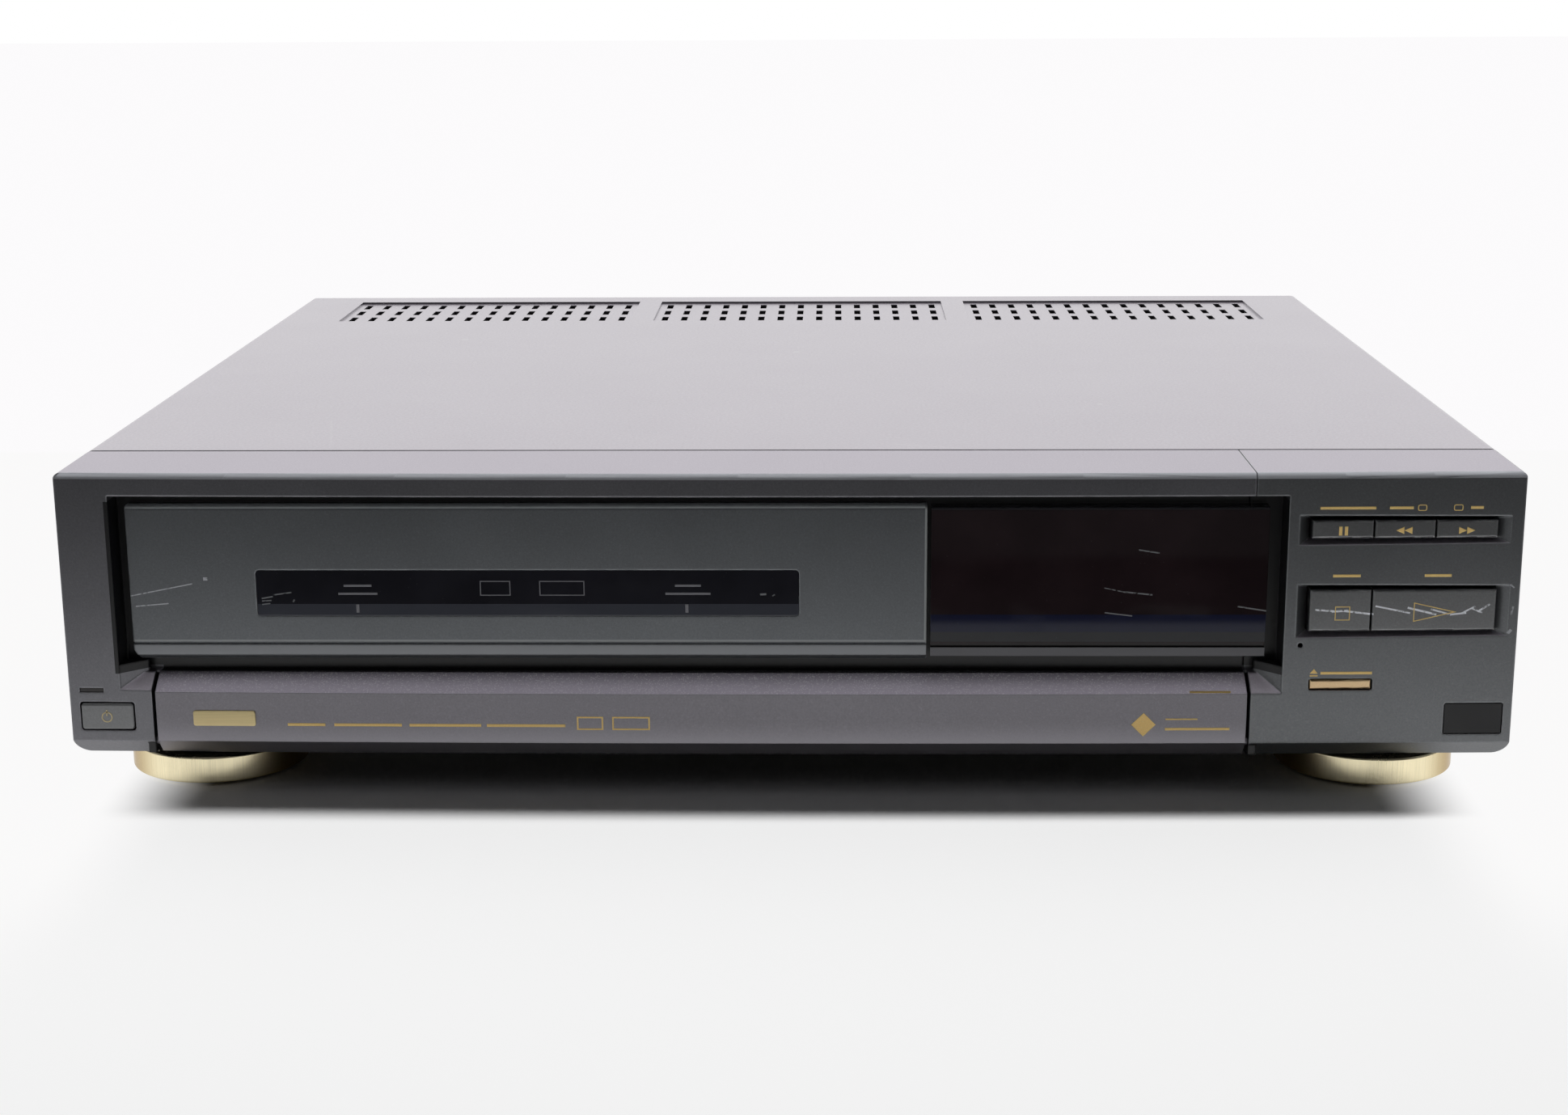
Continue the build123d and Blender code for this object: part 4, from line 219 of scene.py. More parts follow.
class Surface(Graph):
    """The node tree of one material, with its Object coordinates and its colour so far at hand."""

    def __init__(self, name: str, color: Rgb = (1.0, 1.0, 1.0)) -> None:
        """Start a material.

        Args:
            name: Its name.
            color: The plain colour that the rest is laid over.
        """
        self.material = bpy.data.materials.new(name)
        super().__init__(self.material)
        self.color: Socket | Rgb = color
        self.place = self.node("ShaderNodeTexCoord", output="Object")
        self.x = self.part(self.place, "X")
        self.y, self.z = self.x.named("Y"), self.x.named("Z")

    def paint(self, share: Socket | float, tint: Rgb | Socket) -> None:
        """Lay a share of a tint over the colour so far."""
        self.color = self.mix(share, self.color, tint)

    def noise(self, size: float, detail: float = 2.0, stretch: Rgb = (1.0, 1.0, 1.0)) -> Socket:
        """Smooth noise from 0 to 1.

        Args:
            size: Size of its patches in millimetres.
            detail: Octaves of finer noise.
            stretch: How much longer the patches are along each axis.

        Returns:
            The noise value.
        """
        scale = tuple(1000.0 / (size * longer) for longer in stretch)
        place = self.node("ShaderNodeMapping", {}, {"Vector": self.place, "Scale": scale})
        return self.node("ShaderNodeTexNoise", {}, {"Vector": place, "Scale": 1.0, "Detail": detail})

    def cells(self, size: float, output: str = "Color") -> Socket:
        """Irregular cells of a size in millimetres, as a random value or a distance."""
        found = self.node("ShaderNodeTexVoronoi", {}, {"Vector": self.place, "Scale": 1000.0 / size}, output)
        return found if output == "Distance" else self.node("ShaderNodeSeparateColor", {}, {"Color": found})

    def mark(self, line: Scratch) -> Socket:
        """The mask of a scratch, broken into flecks.

        Args:
            line: The scratch.

        Returns:
            The mask, as strong as the scratch.
        """
        cos, sin = math.cos(math.radians(line.turn)), math.sin(math.radians(line.turn))
        right = self.x - mm(line.x)
        high = self.y - mm(NOSE + line.z) if line.flat else self.z - mm(line.z)
        along, beside = abs(right * cos + high * sin), abs(high * cos - right * sin)
        whole = along.below(mm(line.length) / 2) * beside.below(mm(line.width) / 2)
        return whole * self.noise(FLECK_SIZE, 2.0).fade(*FLECK_FADE) * line.strength

    def inside(self, zone: Zone) -> Socket:
        """1 inside the box of a zone, 0 elsewhere."""
        low, high = at(*zone.low), at(*zone.high)
        return self.x.between(low.x, high.x) * self.y.between(low.y, high.y) * self.z.between(low.z, high.z)

    def edges(self, radius: float) -> tuple[Socket, Socket]:
        """Normals rounded over sharp edges, and where those edges are.

        Args:
            radius: Radius of the rounding in millimetres.

        Returns:
            The rounded normal, and a mask that is 1 on edges.
        """
        soft = self.node("ShaderNodeBevel", {"samples": 4}, {"Radius": mm(radius)})
        true = self.node("ShaderNodeNewGeometry", output="True Normal")
        facing = self.vector("DOT_PRODUCT", soft, true, output="Value")
        return soft, (1.0 - facing).fade(*EDGE_FADE)

    def lean(self, normal: Socket, radius: float, start: float = PROFILE_START) -> Socket:
        """Normals of an upright face tilted back as a gently convex one would be.

        Args:
            normal: The surface's own normals.
            radius: Radius of the convex profile in millimetres.
            start: Height in millimetres where the profile is upright.

        Returns:
            The tilted normals.
        """
        rise = (self.z - mm(start)) / mm(radius) * (1.0 - abs(self.part(normal, "Z")))
        tilt = self.node("ShaderNodeCombineXYZ", {}, {"Z": rise})
        return self.vector("NORMALIZE", self.vector("ADD", normal, tilt))

    def ridge(self, normal: Socket, radius: float) -> tuple[Socket, Socket]:
        """Even normals along the rounded top edge of the bowed front.

        Args:
            normal: The surface's own normals.
            radius: Radius of the rounding in millimetres.

        Returns:
            Where the rounding is, and the normals with it put right.
        """
        bow = self.x * self.x * (mm(BOW) / mm(BOW_HALF) ** 2)
        back, high = self.y - mm(NOSE + radius) - bow, self.z - mm(TOP - radius)
        on, near = back.below(0.0) * high.above(0.0), back.below(mm(RIDGE_REACH)) * high.above(0.0)
        way = self.node("ShaderNodeCombineXYZ", {}, {"Y": self.math("MINIMUM", back, 0.0), "Z": high})
        even = self.vector("NORMALIZE", way)
        return on, self.node("ShaderNodeMix", {"data_type": "VECTOR"}, {0: near, 4: normal, 5: even}, 1)

    def facing(self, axis: str) -> Socket:
        """How far the shaded surface looks along an axis, from -1 to 1."""
        return self.part(self.node("ShaderNodeNewGeometry", output="Normal"), axis)

    def bump(self, height: Socket, depth: float, normal: Socket | None = None) -> Socket:
        """Normals of a relief, its depth in millimetres, laid on the surface's own or on others."""
        laid = {"Normal": normal} if normal else {}
        return self.node("ShaderNodeBump", {}, {"Height": height, "Distance": mm(depth), **laid})

    def close(self, inputs: dict) -> bpy.types.Material:
        """Finish the material with the colour so far and values for the shader's other inputs."""
        self.finish(self.node("ShaderNodeBsdfPrincipled", {}, {"Base Color": self.color, **inputs}))
        return self.material


# ------------------------------------------------------------------ finishes
# Sizes are in millimetres; a fade gives the values of its pattern where it starts and ends.
EDGE_FADE = (0.01, 0.25)
RIDGE_REACH = 2.0
FLECK_SIZE, FLECK_FADE = 1.1, (0.28, 0.5)
CLOUD_SIZE, CLOUD_FADE, CLOUD_LIGHT = 42.0, (0.25, 0.75), 1.9
PIT_FADE, PIT_SHARE, PIT_DARK, PIT_DARK_ABOVE = (0.35, 0.7), 0.22, 0.62, 0.75
DUST_SIZE, DUST_LEAST, DUST_SHARE, DUST_LIGHT = 0.45, 0.94, 0.06, 2.4
# Painted glints in the lit tone of faces that look up.
GLINT_SIZE, GLINT_LEAST, GLINT_LIGHT = 0.3, 0.86, 2.6
# Edges lighten partly as wear and partly as a painted highlight where light catches them.
WORN_LIT_EDGE_SIZE, WORN_LIT_EDGE_FADE, WORN_LIT_EDGE_LEAST, WORN_LIT_EDGE_SHARE, WORN_LIT_EDGE_LIGHT, WORN_LIT_EDGE_BARE = 5.0, (0.3, 0.62), 0.45, 0.9, 1.35, 0.8
# Painted top light reaches sills that face this far up; painted shade under an overhang; painted floor light
# low on a face.
SILL_FACING, OVERHANG_SHADE_DARK, FLOOR_LIGHT_GAIN = (0.4, 0.7), 0.3, 1.6
# The rim is a painted highlight along the rounded top edge of the front: its share, how much less metallic,
# how much rougher.
RIM_SHARE, RIM_BARE, RIM_ROUGH = 0.8, 0.6, 0.26
SMOKE_SIZE, SMOKE_DARK, SMOKE_LIGHT, WAVE_SIZE, WAVE_DEEP = 30.0, 0.8, 1.25, 60.0, 0.02
SMEAR_SIZE, SMEAR_STRETCH, SMEAR_FADE, SMEAR_ROUGH = 9.0, (3.0, 1.0, 1.0), (0.5, 0.8), 0.10
LINT_SIZE, LINT_NEAR, LINT_SHARE, LINT_LIGHT, SCRATCH_ROUGH = 2.4, 0.035, 0.25, 1.2, 0.3
TARNISH_SIZE, TARNISH_FADE, SPANGLE_SIZE, SPANGLE_DARK = 24.0, (0.45, 0.75), 9.0, 0.55
SOLDER = srgb(186, 188, 190)


@dataclass(frozen=True)
class Scratch:
    """A pale scratched line, placed across and up the front, or across and back if it lies flat."""

    x: float
    z: float
    length: float
    width: float = 0.18
    turn: float = 0.0
    strength: float = 0.5
    flat: bool = False


def scratches(*rows: tuple[float, ...]) -> tuple[Scratch, ...]:
    """A table of scratches, one in each row."""
    return tuple(Scratch(*row) for row in rows)


@dataclass(frozen=True)
class Zone:
    """A box, in millimetres across, behind the nose and up, painted in a tint of its own as painted shade or
    painted highlight.
    """

    low: Rgb
    high: Rgb
    color: Rgb
    metallic: float = 0.0


class Finish(Protocol):
    """Anything that builds one material."""

    name: str

    def make(self) -> bpy.types.Material:
        """Build the material."""


@dataclass(frozen=True)
class Moulding:
    """Painted or moulded plastic with a fine grain, a cloudy tone, rubbed edges and a little dust.

    Rubbed edges are also lightened as a painted highlight.  Faces that look up can get a lighter tone
    painted on as light and reflection from above, with painted shade towards the top of a range of
    heights under an overhang.  A lighter tone painted on the lowest part of a face stands for light
    from the floor, and `ridge` is the radius of the rounding on top of the front, which gets a painted
    highlight in the tone `rim`.
    """

    name: str
    color: Rgb
    roughness: float = 0.48
    grain: float = 0.55
    relief: float = 0.02
    cloud: float = 0.10
    edge: float = 1.5
    edge_radius: float = 0.35
    coat: float = 0.0
    flake: float = 0.0
    convex: float = 0.0
    painted_top_light: Rgb | None = None
    painted_top_light_from: Pair = (0.9, 0.97)
    sills_under: float = 0.0
    ridge: float = 0.0
    rim: Rgb = srgb(182, 184, 190)
    painted_floor_light: Pair | None = None
    painted_overhang_shade: Pair | None = None
    painted_glint_share: float = 0.06
    zones: tuple[Zone, ...] = ()
    scratches: tuple[Scratch, ...] = ()
    scratch_color: Rgb = (0.62, 0.64, 0.66)

    def make(self) -> bpy.types.Material:
        """Build the material.

        Returns:
            The finished material.
        """
        graph = Surface(self.name, self.color)
        soft, edge_mask = graph.edges(self.edge_radius)
        if self.convex:
            soft = graph.lean(soft, self.convex)
        on: Socket | float = 0.0
        if self.ridge:
            on, soft = graph.ridge(soft, self.ridge)
        grain, cloud = graph.noise(self.grain, 3.0), graph.noise(CLOUD_SIZE, 3.0)
        pits = grain.fade(*PIT_FADE) * PIT_SHARE
        dust = graph.cells(DUST_SIZE).above(DUST_LEAST) * DUST_SHARE
        graph.paint(cloud.fade(*CLOUD_FADE) * self.cloud, scaled(self.color, CLOUD_LIGHT))
        graph.paint(pits, scaled(self.color, PIT_DARK))
        graph.paint(dust, scaled(self.color, DUST_LIGHT))
        # Painted light and reflection from above on faces that look up, not on the top rounding.
        if self.painted_top_light:
            graph.paint(self.painted_top_light_mask(graph) * (1.0 - on), self.painted_top_light_tone(graph, pits))
        # Edges lightened as wear and as a painted highlight, and made less metallic.
        worn_and_lit_edges = edge_mask * (WORN_LIT_EDGE_LEAST + graph.noise(WORN_LIT_EDGE_SIZE, 3.0).fade(*WORN_LIT_EDGE_FADE) * (1.0 - WORN_LIT_EDGE_LEAST))
        graph.paint(worn_and_lit_edges * WORN_LIT_EDGE_SHARE, scaled(self.color, self.edge * WORN_LIT_EDGE_LIGHT))
        # Painted highlight along the rounded top edge of the front.
        if self.ridge:
            graph.paint(on * RIM_SHARE, self.rim)
        # Painted light from the floor on the lowest part of the face.
        if self.painted_floor_light:
            low, high = (mm(height) for height in self.painted_floor_light)
            graph.paint(graph.z.fade(high, low), scaled(self.color, FLOOR_LIGHT_GAIN))
        metallic = (1.0 - worn_and_lit_edges * WORN_LIT_EDGE_BARE) * (1.0 - on * RIM_BARE) * self.flake
        # Zones of painted shade or painted highlight, each with its own metallic share.
        for zone in self.zones:
            inside = graph.inside(zone)
            graph.paint(inside, zone.color)
            metallic = metallic * (1.0 - inside) + inside * zone.metallic
        for line in self.scratches:
            graph.paint(graph.mark(line), self.scratch_color)
        rough = self.roughness + grain * 0.12 + cloud * 0.05 - 0.08 + on * RIM_ROUGH
        return graph.close({"Metallic": metallic, "Roughness": rough, "Coat Weight": self.coat,
                            "Coat Roughness": 0.2, "Specular IOR Level": 0.5,
                            "Normal": graph.bump(grain, self.relief, soft)})

    def painted_top_light_mask(self, graph: Surface) -> Socket:
        """Where the painted top light lies: on top, and on the sills of pockets.

        Args:
            graph: The material's graph.

        Returns:
            The mask.
        """
        up = graph.facing("Z")
        share = up.fade(*self.painted_top_light_from)
        if self.sills_under:
            share = graph.math("MAXIMUM", share, up.fade(*SILL_FACING) * graph.z.below(mm(self.sills_under)))
        return share

    def painted_top_light_tone(self, graph: Surface, pits: Socket) -> Socket:
        """The painted light tone of faces that look up, with painted shade and painted glints.

        Args:
            graph: The material's graph.
            pits: The mask of the darker grain.

        Returns:
            The colour.
        """
        tone = graph.mix(pits, self.painted_top_light, scaled(self.painted_top_light, PIT_DARK_ABOVE))
        # Painted shade under an overhang, darker towards the top of the given heights.
        if self.painted_overhang_shade:
            low, high = (mm(height) for height in self.painted_overhang_shade)
            tone = graph.mix(graph.z.fade(low, high), tone, scaled(self.painted_top_light, OVERHANG_SHADE_DARK))
        # Painted glints in the lit tone.
        glint = graph.cells(GLINT_SIZE).above(GLINT_LEAST)
        return graph.mix(glint * self.painted_glint_share, tone, scaled(self.painted_top_light, GLINT_LIGHT))


@dataclass(frozen=True)
class Gloss:
    """Smoked window with coloured bands by height, faint smears and hairline scratches."""

    name: str
    color: Rgb
    roughness: float = 0.07
    specular: float = 0.4
    convex: float = 0.0
    bands: tuple[tuple[float, float, Rgb], ...] = ()
    scratches: tuple[Scratch, ...] = ()
    scratch_color: Rgb = (0.22, 0.23, 0.24)

    def make(self) -> bpy.types.Material:
        """Build the material.

        Returns:
            The finished material.
        """
        graph = Surface(self.name, scaled(self.color, SMOKE_DARK))
        graph.paint(graph.noise(SMOKE_SIZE, 3.0).fade(0.3, 0.7), scaled(self.color, SMOKE_LIGHT))
        for low, high, tint in self.bands:
            graph.paint(graph.z.between(mm(low), mm(high)), tint)
        lint = graph.cells(LINT_SIZE, "Distance").below(LINT_NEAR)
        graph.paint(lint * LINT_SHARE, scaled(self.scratch_color, LINT_LIGHT))
        smear = graph.noise(SMEAR_SIZE, 3.0, SMEAR_STRETCH).fade(*SMEAR_FADE)
        rough = self.roughness + smear * SMEAR_ROUGH
        for line in self.scratches:
            broken = graph.mark(line)
            graph.paint(broken, self.scratch_color)
            rough = rough + broken * SCRATCH_ROUGH
        soft, _ = graph.edges(0.3)
        if self.convex:
            soft = graph.lean(soft, self.convex)
        relief = graph.bump(graph.noise(WAVE_SIZE, 1.0), WAVE_DEEP, soft)
        return graph.close({"Roughness": rough, "Specular IOR Level": self.specular, "Normal": relief})


class Grain(Enum):
    """How the surface of a metal is worked, as the stretch of its grain."""

    BRUSHED = (40.0, 1.0, 1.0)
    UPRIGHT = (1.0, 1.0, 60.0)
    CAST = (1.0, 1.0, 1.0)


@dataclass(frozen=True)
class Metal:
    """Bare or plated metal, brushed, turned or cast, with handling marks."""

    name: str
    color: Rgb
    roughness: float = 0.32
    working: Grain = Grain.CAST
    size: float = 0.5
    relief: float = 0.01
    spangle: float = 0.0
    tarnish: Rgb = (0.20, 0.17, 0.13)
    tarnish_share: float = 0.15
    convex: float = 0.0
    upright_at: float = 0.0
    ends: Rgb | None = None

    def make(self) -> bpy.types.Material:
        """Build the material.

        Returns:
            The finished material.
        """
        graph = Surface(self.name, self.color)
        soft, edge_mask = graph.edges(0.25)
        if self.convex:
            soft = graph.lean(soft, self.convex, self.upright_at)
        worked = graph.noise(self.size, 4.0, self.working.value)
        patch = graph.noise(TARNISH_SIZE, 4.0).fade(*TARNISH_FADE)
        graph.paint(worked.fade(0.3, 0.7) * 0.25, scaled(self.color, 0.72))
        graph.paint(graph.cells(SPANGLE_SIZE) * self.spangle, scaled(self.color, SPANGLE_DARK))
        graph.paint(patch * self.tarnish_share, self.tarnish)
        graph.paint(edge_mask * 0.5, scaled(self.color, 1.3))
        # Painted reflection: faces that turn to the sides take a tone of their own.
        if self.ends:
            graph.paint(abs(graph.facing("X")).fade(0.45, 0.95), self.ends)
        rough = self.roughness + worked * 0.14 - 0.07 + patch * 0.12
        return graph.close({"Metallic": 1.0, "Roughness": rough,
                            "Normal": graph.bump(worked, self.relief, soft)})


@dataclass(frozen=True)
class Board:
    """Circuit board with its tracks, solder pads and printed mask."""

    name: str
    mask: Rgb
    track: Rgb
    pitch: float = 3.2

    def make(self) -> bpy.types.Material:
        """Build the material.

        Returns:
            The finished material.
        """
        graph = Surface(self.name, self.mask)
        shares = {"Vector": graph.place, "Scale": 1000.0 / (self.pitch * 2.6), "Mortar Size": 0.035,
                  "Brick Width": 0.9, "Row Height": 0.22}
        lines = graph.node("ShaderNodeTexBrick", {"offset": 0.37, "squash": 1.0}, shares, "Fac")
        pads = graph.cells(self.pitch, "Distance").below(0.13)
        graph.paint(graph.noise(30.0, 2.0) * 0.4, scaled(self.mask, 1.5))
        graph.paint(lines * 0.8, self.track)
        graph.paint(pads, SOLDER)
        return graph.close({"Metallic": pads * 0.9, "Roughness": 0.45 - pads * 0.15,
                            "Normal": graph.bump(lines * 0.5 + pads, 0.05)})


DISPLAY_SCRATCHES = scratches(
    (108.1, 74.1, 6.3, 0.4, -9.0, 0.9), (98.2, 62.2, 6.5, 0.3, -12.0, 0.9),
    (105.2, 61.2, 8.6, 0.44, -6.0, 0.95), (99.5, 54.7, 8.3, 0.38, -7.0, 0.9),
    (139.6, 56.4, 9.4, 0.42, -9.0, 0.95))
WINDOW_SCRATCHES = scratches(
    (-156.6, 59.9, 3.4, 0.4, 10.0, 0.9), (-156.8, 58.9, 2.9, 0.36, 4.0, 0.9),
    (-157.0, 57.9, 2.5, 0.36, 7.0, 0.9), (-152.0, 61.1, 5.6, 0.4, 8.0, 0.9),
    (-148.6, 58.9, 0.9, 0.5, 60.0, 0.7), (-7.0, 60.9, 1.9, 0.6, 3.0, 1.0), (-3.9, 60.6, 0.9, 0.4, 30.0, 0.7))
BUTTON_SCRATCHES = scratches(
    (160.0, 57.2, 5.6, 0.55, -4.0, 0.95), (164.6, 57.0, 5.0, 0.6, 4.0, 0.95),
    (170.2, 56.5, 8.8, 0.6, -7.0, 1.0), (180.2, 57.4, 10.6, 0.52, -12.0, 1.0),
    (188.9, 56.9, 8.9, 0.62, -14.0, 1.0), (194.6, 56.6, 6.4, 0.5, -16.0, 0.9),
    (199.4, 56.0, 5.4, 0.56, 6.0, 0.95), (202.6, 57.2, 4.6, 0.5, 28.0, 0.95),
    (205.2, 57.0, 3.6, 0.46, -24.0, 0.9), (207.2, 57.8, 4.2, 0.6, 34.0, 0.95))
TRAY_SCRATCHES = scratches(
    (-189.0, 62.2, 20.4, 0.34, 11.3, 0.55), (-191.6, 57.6, 10.0, 0.34, 5.0, 0.5),
    (-175.0, 65.7, 1.3, 1.0, 0.0, 0.6))
PANEL_SCRATCHES = scratches(
    (215.2, 64.5, 1.6, 0.45, -40.0, 0.45), (215.6, 57.0, 2.6, 0.6, 80.0, 0.35),
    (215.2, 50.5, 1.6, 0.9, 50.0, 0.35))
COVER_SCRATCHES = scratches(
    (-132.0, 256.0, 2.4, 2.4, 0.0, 0.5, True), (-147.0, 65.5, 41.8, 0.8, -79.0, 0.12, True),
    (0.0, 224.0, 2.2, 2.2, 0.0, 0.45, True), (104.0, 113.0, 1.8, 1.8, 0.0, 0.45, True),
    (45.8, 41.1, 27.4, 0.7, -19.0, 0.35, True))
# Painted shade inside the recess round the tray and door, and on the walls beside the door's ends.
DEEP_SHADE_TONE = srgb(20, 20, 22)
PAINTED_SHADE_ZONES = (
    Zone((-191.0, 6.9, 10.0), (138.0, 60.0, 42.5), DEEP_SHADE_TONE),
    Zone((-203.0, 1.6, 37.2), (149.6, 60.0, 90.5), DEEP_SHADE_TONE),
    Zone((-194.8, 2.5, 10.0), (-190.9, 60.0, 16.1), DEEP_SHADE_TONE),
    Zone((137.6, 1.6, 10.0), (141.6, 60.0, 16.1), DEEP_SHADE_TONE))
# Painted highlights along the tray front's top and right edges and its groove, and a lighter, more metallic
# strip on its lip.
TRAY_EDGE_HIGHLIGHTS = (
    Zone((-199.0, 5.0, 87.4), (43.0, 10.0, 88.4), srgb(196, 202, 202)),
    Zone((41.3, 5.0, 46.0), (43.0, 10.0, 88.4), srgb(156, 160, 160)),
    Zone((-199.0, 5.0, 46.1), (43.0, 7.2, 46.7), srgb(150, 153, 154), 0.5),
    Zone((-199.0, 5.0, 40.0), (43.0, 7.2, 45.2), srgb(138, 140, 143), 0.85))
PALE_RUB = (0.85, 0.87, 0.92)

# Charcoal mouldings: edges strongly lightened, as wear and as painted highlight.
CHARCOAL = partial(Moulding, flake=0.85, convex=PROFILE, edge=2.2, scratch_color=PALE_RUB)
# The shell's tops get a painted lighter tone as light and reflection from above, and its recesses painted
# shade.
SHELL = partial(CHARCOAL, edge_radius=0.8, painted_top_light=srgb(182, 176, 186), sills_under=92.0, ridge=1.6,
                zones=PAINTED_SHADE_ZONES)
SMOKE = partial(Gloss, specular=0.3, convex=PROFILE)
INK = partial(Moulding, grain=0.25, relief=0.0, cloud=0.05, edge=1.1)
SCREW = Metal("screw_black", srgb(54, 54, 56), 0.4)
TURNED = Metal("turned_steel", srgb(196, 198, 200), 0.2, Grain.UPRIGHT, 0.4, 0.003, tarnish_share=0.05)
NICKEL = Metal("nickel", srgb(190, 186, 176), 0.22, Grain.CAST, 0.4, 0.003, tarnish_share=0.08)
# The pane is lighter towards its foot, with a painted highlight line along its bottom edge.
PANE = SMOKE("tray_pane_smoke", srgb(34, 34, 40), 0.05, scratches=WINDOW_SCRATCHES,
             bands=((53.0, 57.9, srgb(68, 70, 78)), (53.0, 54.5, srgb(96, 98, 104))))

FINISHES: dict[Finish, tuple[str, ...]] = {
    # The cover's top gets a painted lighter tone that stands in for the reflection of the bright backdrop.
    Moulding("cover_paint", srgb(112, 109, 116), 0.34, grain=0.9, relief=0.03, cloud=0.12, edge=1.6, coat=0.6,
             flake=0.8, painted_top_light=srgb(164, 156, 167), scratches=COVER_SCRATCHES,
             scratch_color=(0.5, 0.48, 0.5)): ("top_cover",),
    SCREW: ("cover_screws",),
    Metal("zinc_steel", srgb(168, 170, 172), 0.36, Grain.CAST, 1.2, 0.01, spangle=0.35): ("bottom_pan",),
    Moulding("rear_paint", srgb(40, 41, 43), 0.5, grain=0.7, relief=0.04): ("rear_panel",),
    SHELL("charcoal_front", srgb(116, 116, 120), 0.36): ("fascia",),
    SHELL("charcoal_control", srgb(111, 113, 115), 0.36, scratches=PANEL_SCRATCHES): ("control_panel",),
    # Bands show through the smoke; the band at 86.9 to 87.7 is a painted highlight line and the grey band at
    # 41 to 44.4 a painted reflection along the bottom lip.
    SMOKE("display_smoke", srgb(38, 28, 31), 0.05, scratches=DISPLAY_SCRATCHES,
          bands=((49.2, 54.6, srgb(28, 31, 56)), (46.2, 49.2, srgb(42, 43, 47)),
                 (41.0, 44.4, srgb(104, 104, 108)), (86.9, 87.7, srgb(60, 60, 64)))): ("display_window",),
    SMOKE("infrared_smoke", srgb(34, 34, 36), 0.1): ("infrared_window",),
    Gloss("lamp_smoke", srgb(34, 28, 30), 0.12): ("power_lamp",),
    Moulding("inner_moulding", srgb(42, 44, 46), 0.5, grain=0.8, relief=0.04): ("inner_panel",),
    NICKEL: ("front_jacks", "line_jacks"),
    Moulding("black_moulding", srgb(22, 22, 24), 0.5, grain=0.8, relief=0.04, cloud=0.05): (
        "door_latch", "tray_rail_left", "tray_rail_right", "mains_inlet", "tray_pan", "tray_rack",
        "pinch_arm", "tracking_down_key", "tracking_up_key"),
    Gloss("tube_glass", srgb(30, 40, 42), 0.04, specular=0.6): ("display_tube",),
    Board("main_board_mask", srgb(28, 66, 42), srgb(44, 92, 58)): ("main_board", "front_board"),
    Board("power_board_mask", srgb(124, 90, 48), srgb(146, 108, 62), 4.0): ("power_board",),
    # The ring's faces that turn to the sides get a painted darker, browner reflection.
    Metal("champagne_ring", srgb(252, 240, 202), 0.2, Grain.UPRIGHT, 0.25, 0.001, tarnish_share=0.03,
          convex=1500.0, upright_at=-105.0, ends=srgb(176, 148, 96)): ("foot_ring_left", "foot_ring_right"),
    Moulding("foot_rubber", srgb(24, 24, 25), 0.82, grain=0.6, relief=0.03, cloud=0.12, edge=1.3): (
        "foot_base_left", "foot_base_right", "rear_foot_left", "rear_foot_right"),
    Metal("deck_steel", srgb(176, 178, 178), 0.34, Grain.BRUSHED, 0.5, 0.008, spangle=0.1): ("deck_plate",),
    Metal("tinplate", srgb(186, 184, 176), 0.28, Grain.BRUSHED, 0.8, 0.006, spangle=0.1): (
        "tray_motor", "tuner_module", "transformer", "capstan_motor"),
    Moulding("belt_rubber", srgb(20, 20, 21), 0.7, grain=0.4, relief=0.01): ("tray_belt",),
    Metal("cast_alloy", srgb(170, 172, 174), 0.44, Grain.CAST, 0.7, 0.04): (
        "drum_base", "heat_sink", "supply_guide", "takeup_guide"),
    TURNED: ("head_drum", "capstan", "audio_head"),
    Moulding("roller_rubber", srgb(34, 33, 33), 0.6, grain=0.35, relief=0.01): ("pinch_roller",),
    Moulding("gear_plastic", srgb(214, 210, 198), 0.42, grain=0.8, relief=0.01, cloud=0.05, edge=1.05): (
        "tray_drive_gear", "motor_pulley", "supply_reel", "takeup_reel"),
    CHARCOAL("tray_charcoal", srgb(114, 117, 120), 0.38, edge_radius=0.8, zones=TRAY_EDGE_HIGHLIGHTS,
             scratches=TRAY_SCRATCHES): ("tray_front",),
    SMOKE("tray_smoke", srgb(34, 34, 40), 0.06): ("tray_window",),
    # The door's upward bevel gets painted light with painted glints and painted shade under the tray; its
    # lowest part gets painted light from the floor.
    Moulding("door_charcoal", srgb(120, 118, 123), 0.38, flake=0.85, painted_top_light=srgb(196, 189, 203),
             painted_top_light_from=(0.4, 0.7), painted_overhang_shade=(32.6, 37.4), painted_glint_share=0.25, painted_floor_light=(13.0, 24.0)): ("door",),
    CHARCOAL("button_charcoal", srgb(120, 121, 122), 0.34, edge_radius=0.6, scratches=BUTTON_SCRATCHES): (
        "pause_button", "rewind_button", "fast_forward_button", "stop_button", "play_button", "power_button"),
    Moulding("gold_button", srgb(218, 186, 144), 0.34, grain=0.3, relief=0.01, cloud=0.1, coat=0.2,
             flake=0.85, edge=1.2): ("open_close_button",),
}


def dress_nodes() -> None:
    """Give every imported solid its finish."""
    for finish, nodes in FINISHES.items():
        material = finish.make()
        for name in nodes:
            node = frame["nodes"][name]
            node.data.materials.clear()
            node.data.materials.append(material)
        LOG.info("finish %s on %s", finish.name, ", ".join(nodes))
    bare = sorted(set(frame["nodes"]) - {name for nodes in FINISHES.values() for name in nodes})
    if bare:
        raise ValueError(f"no finish for {bare}")


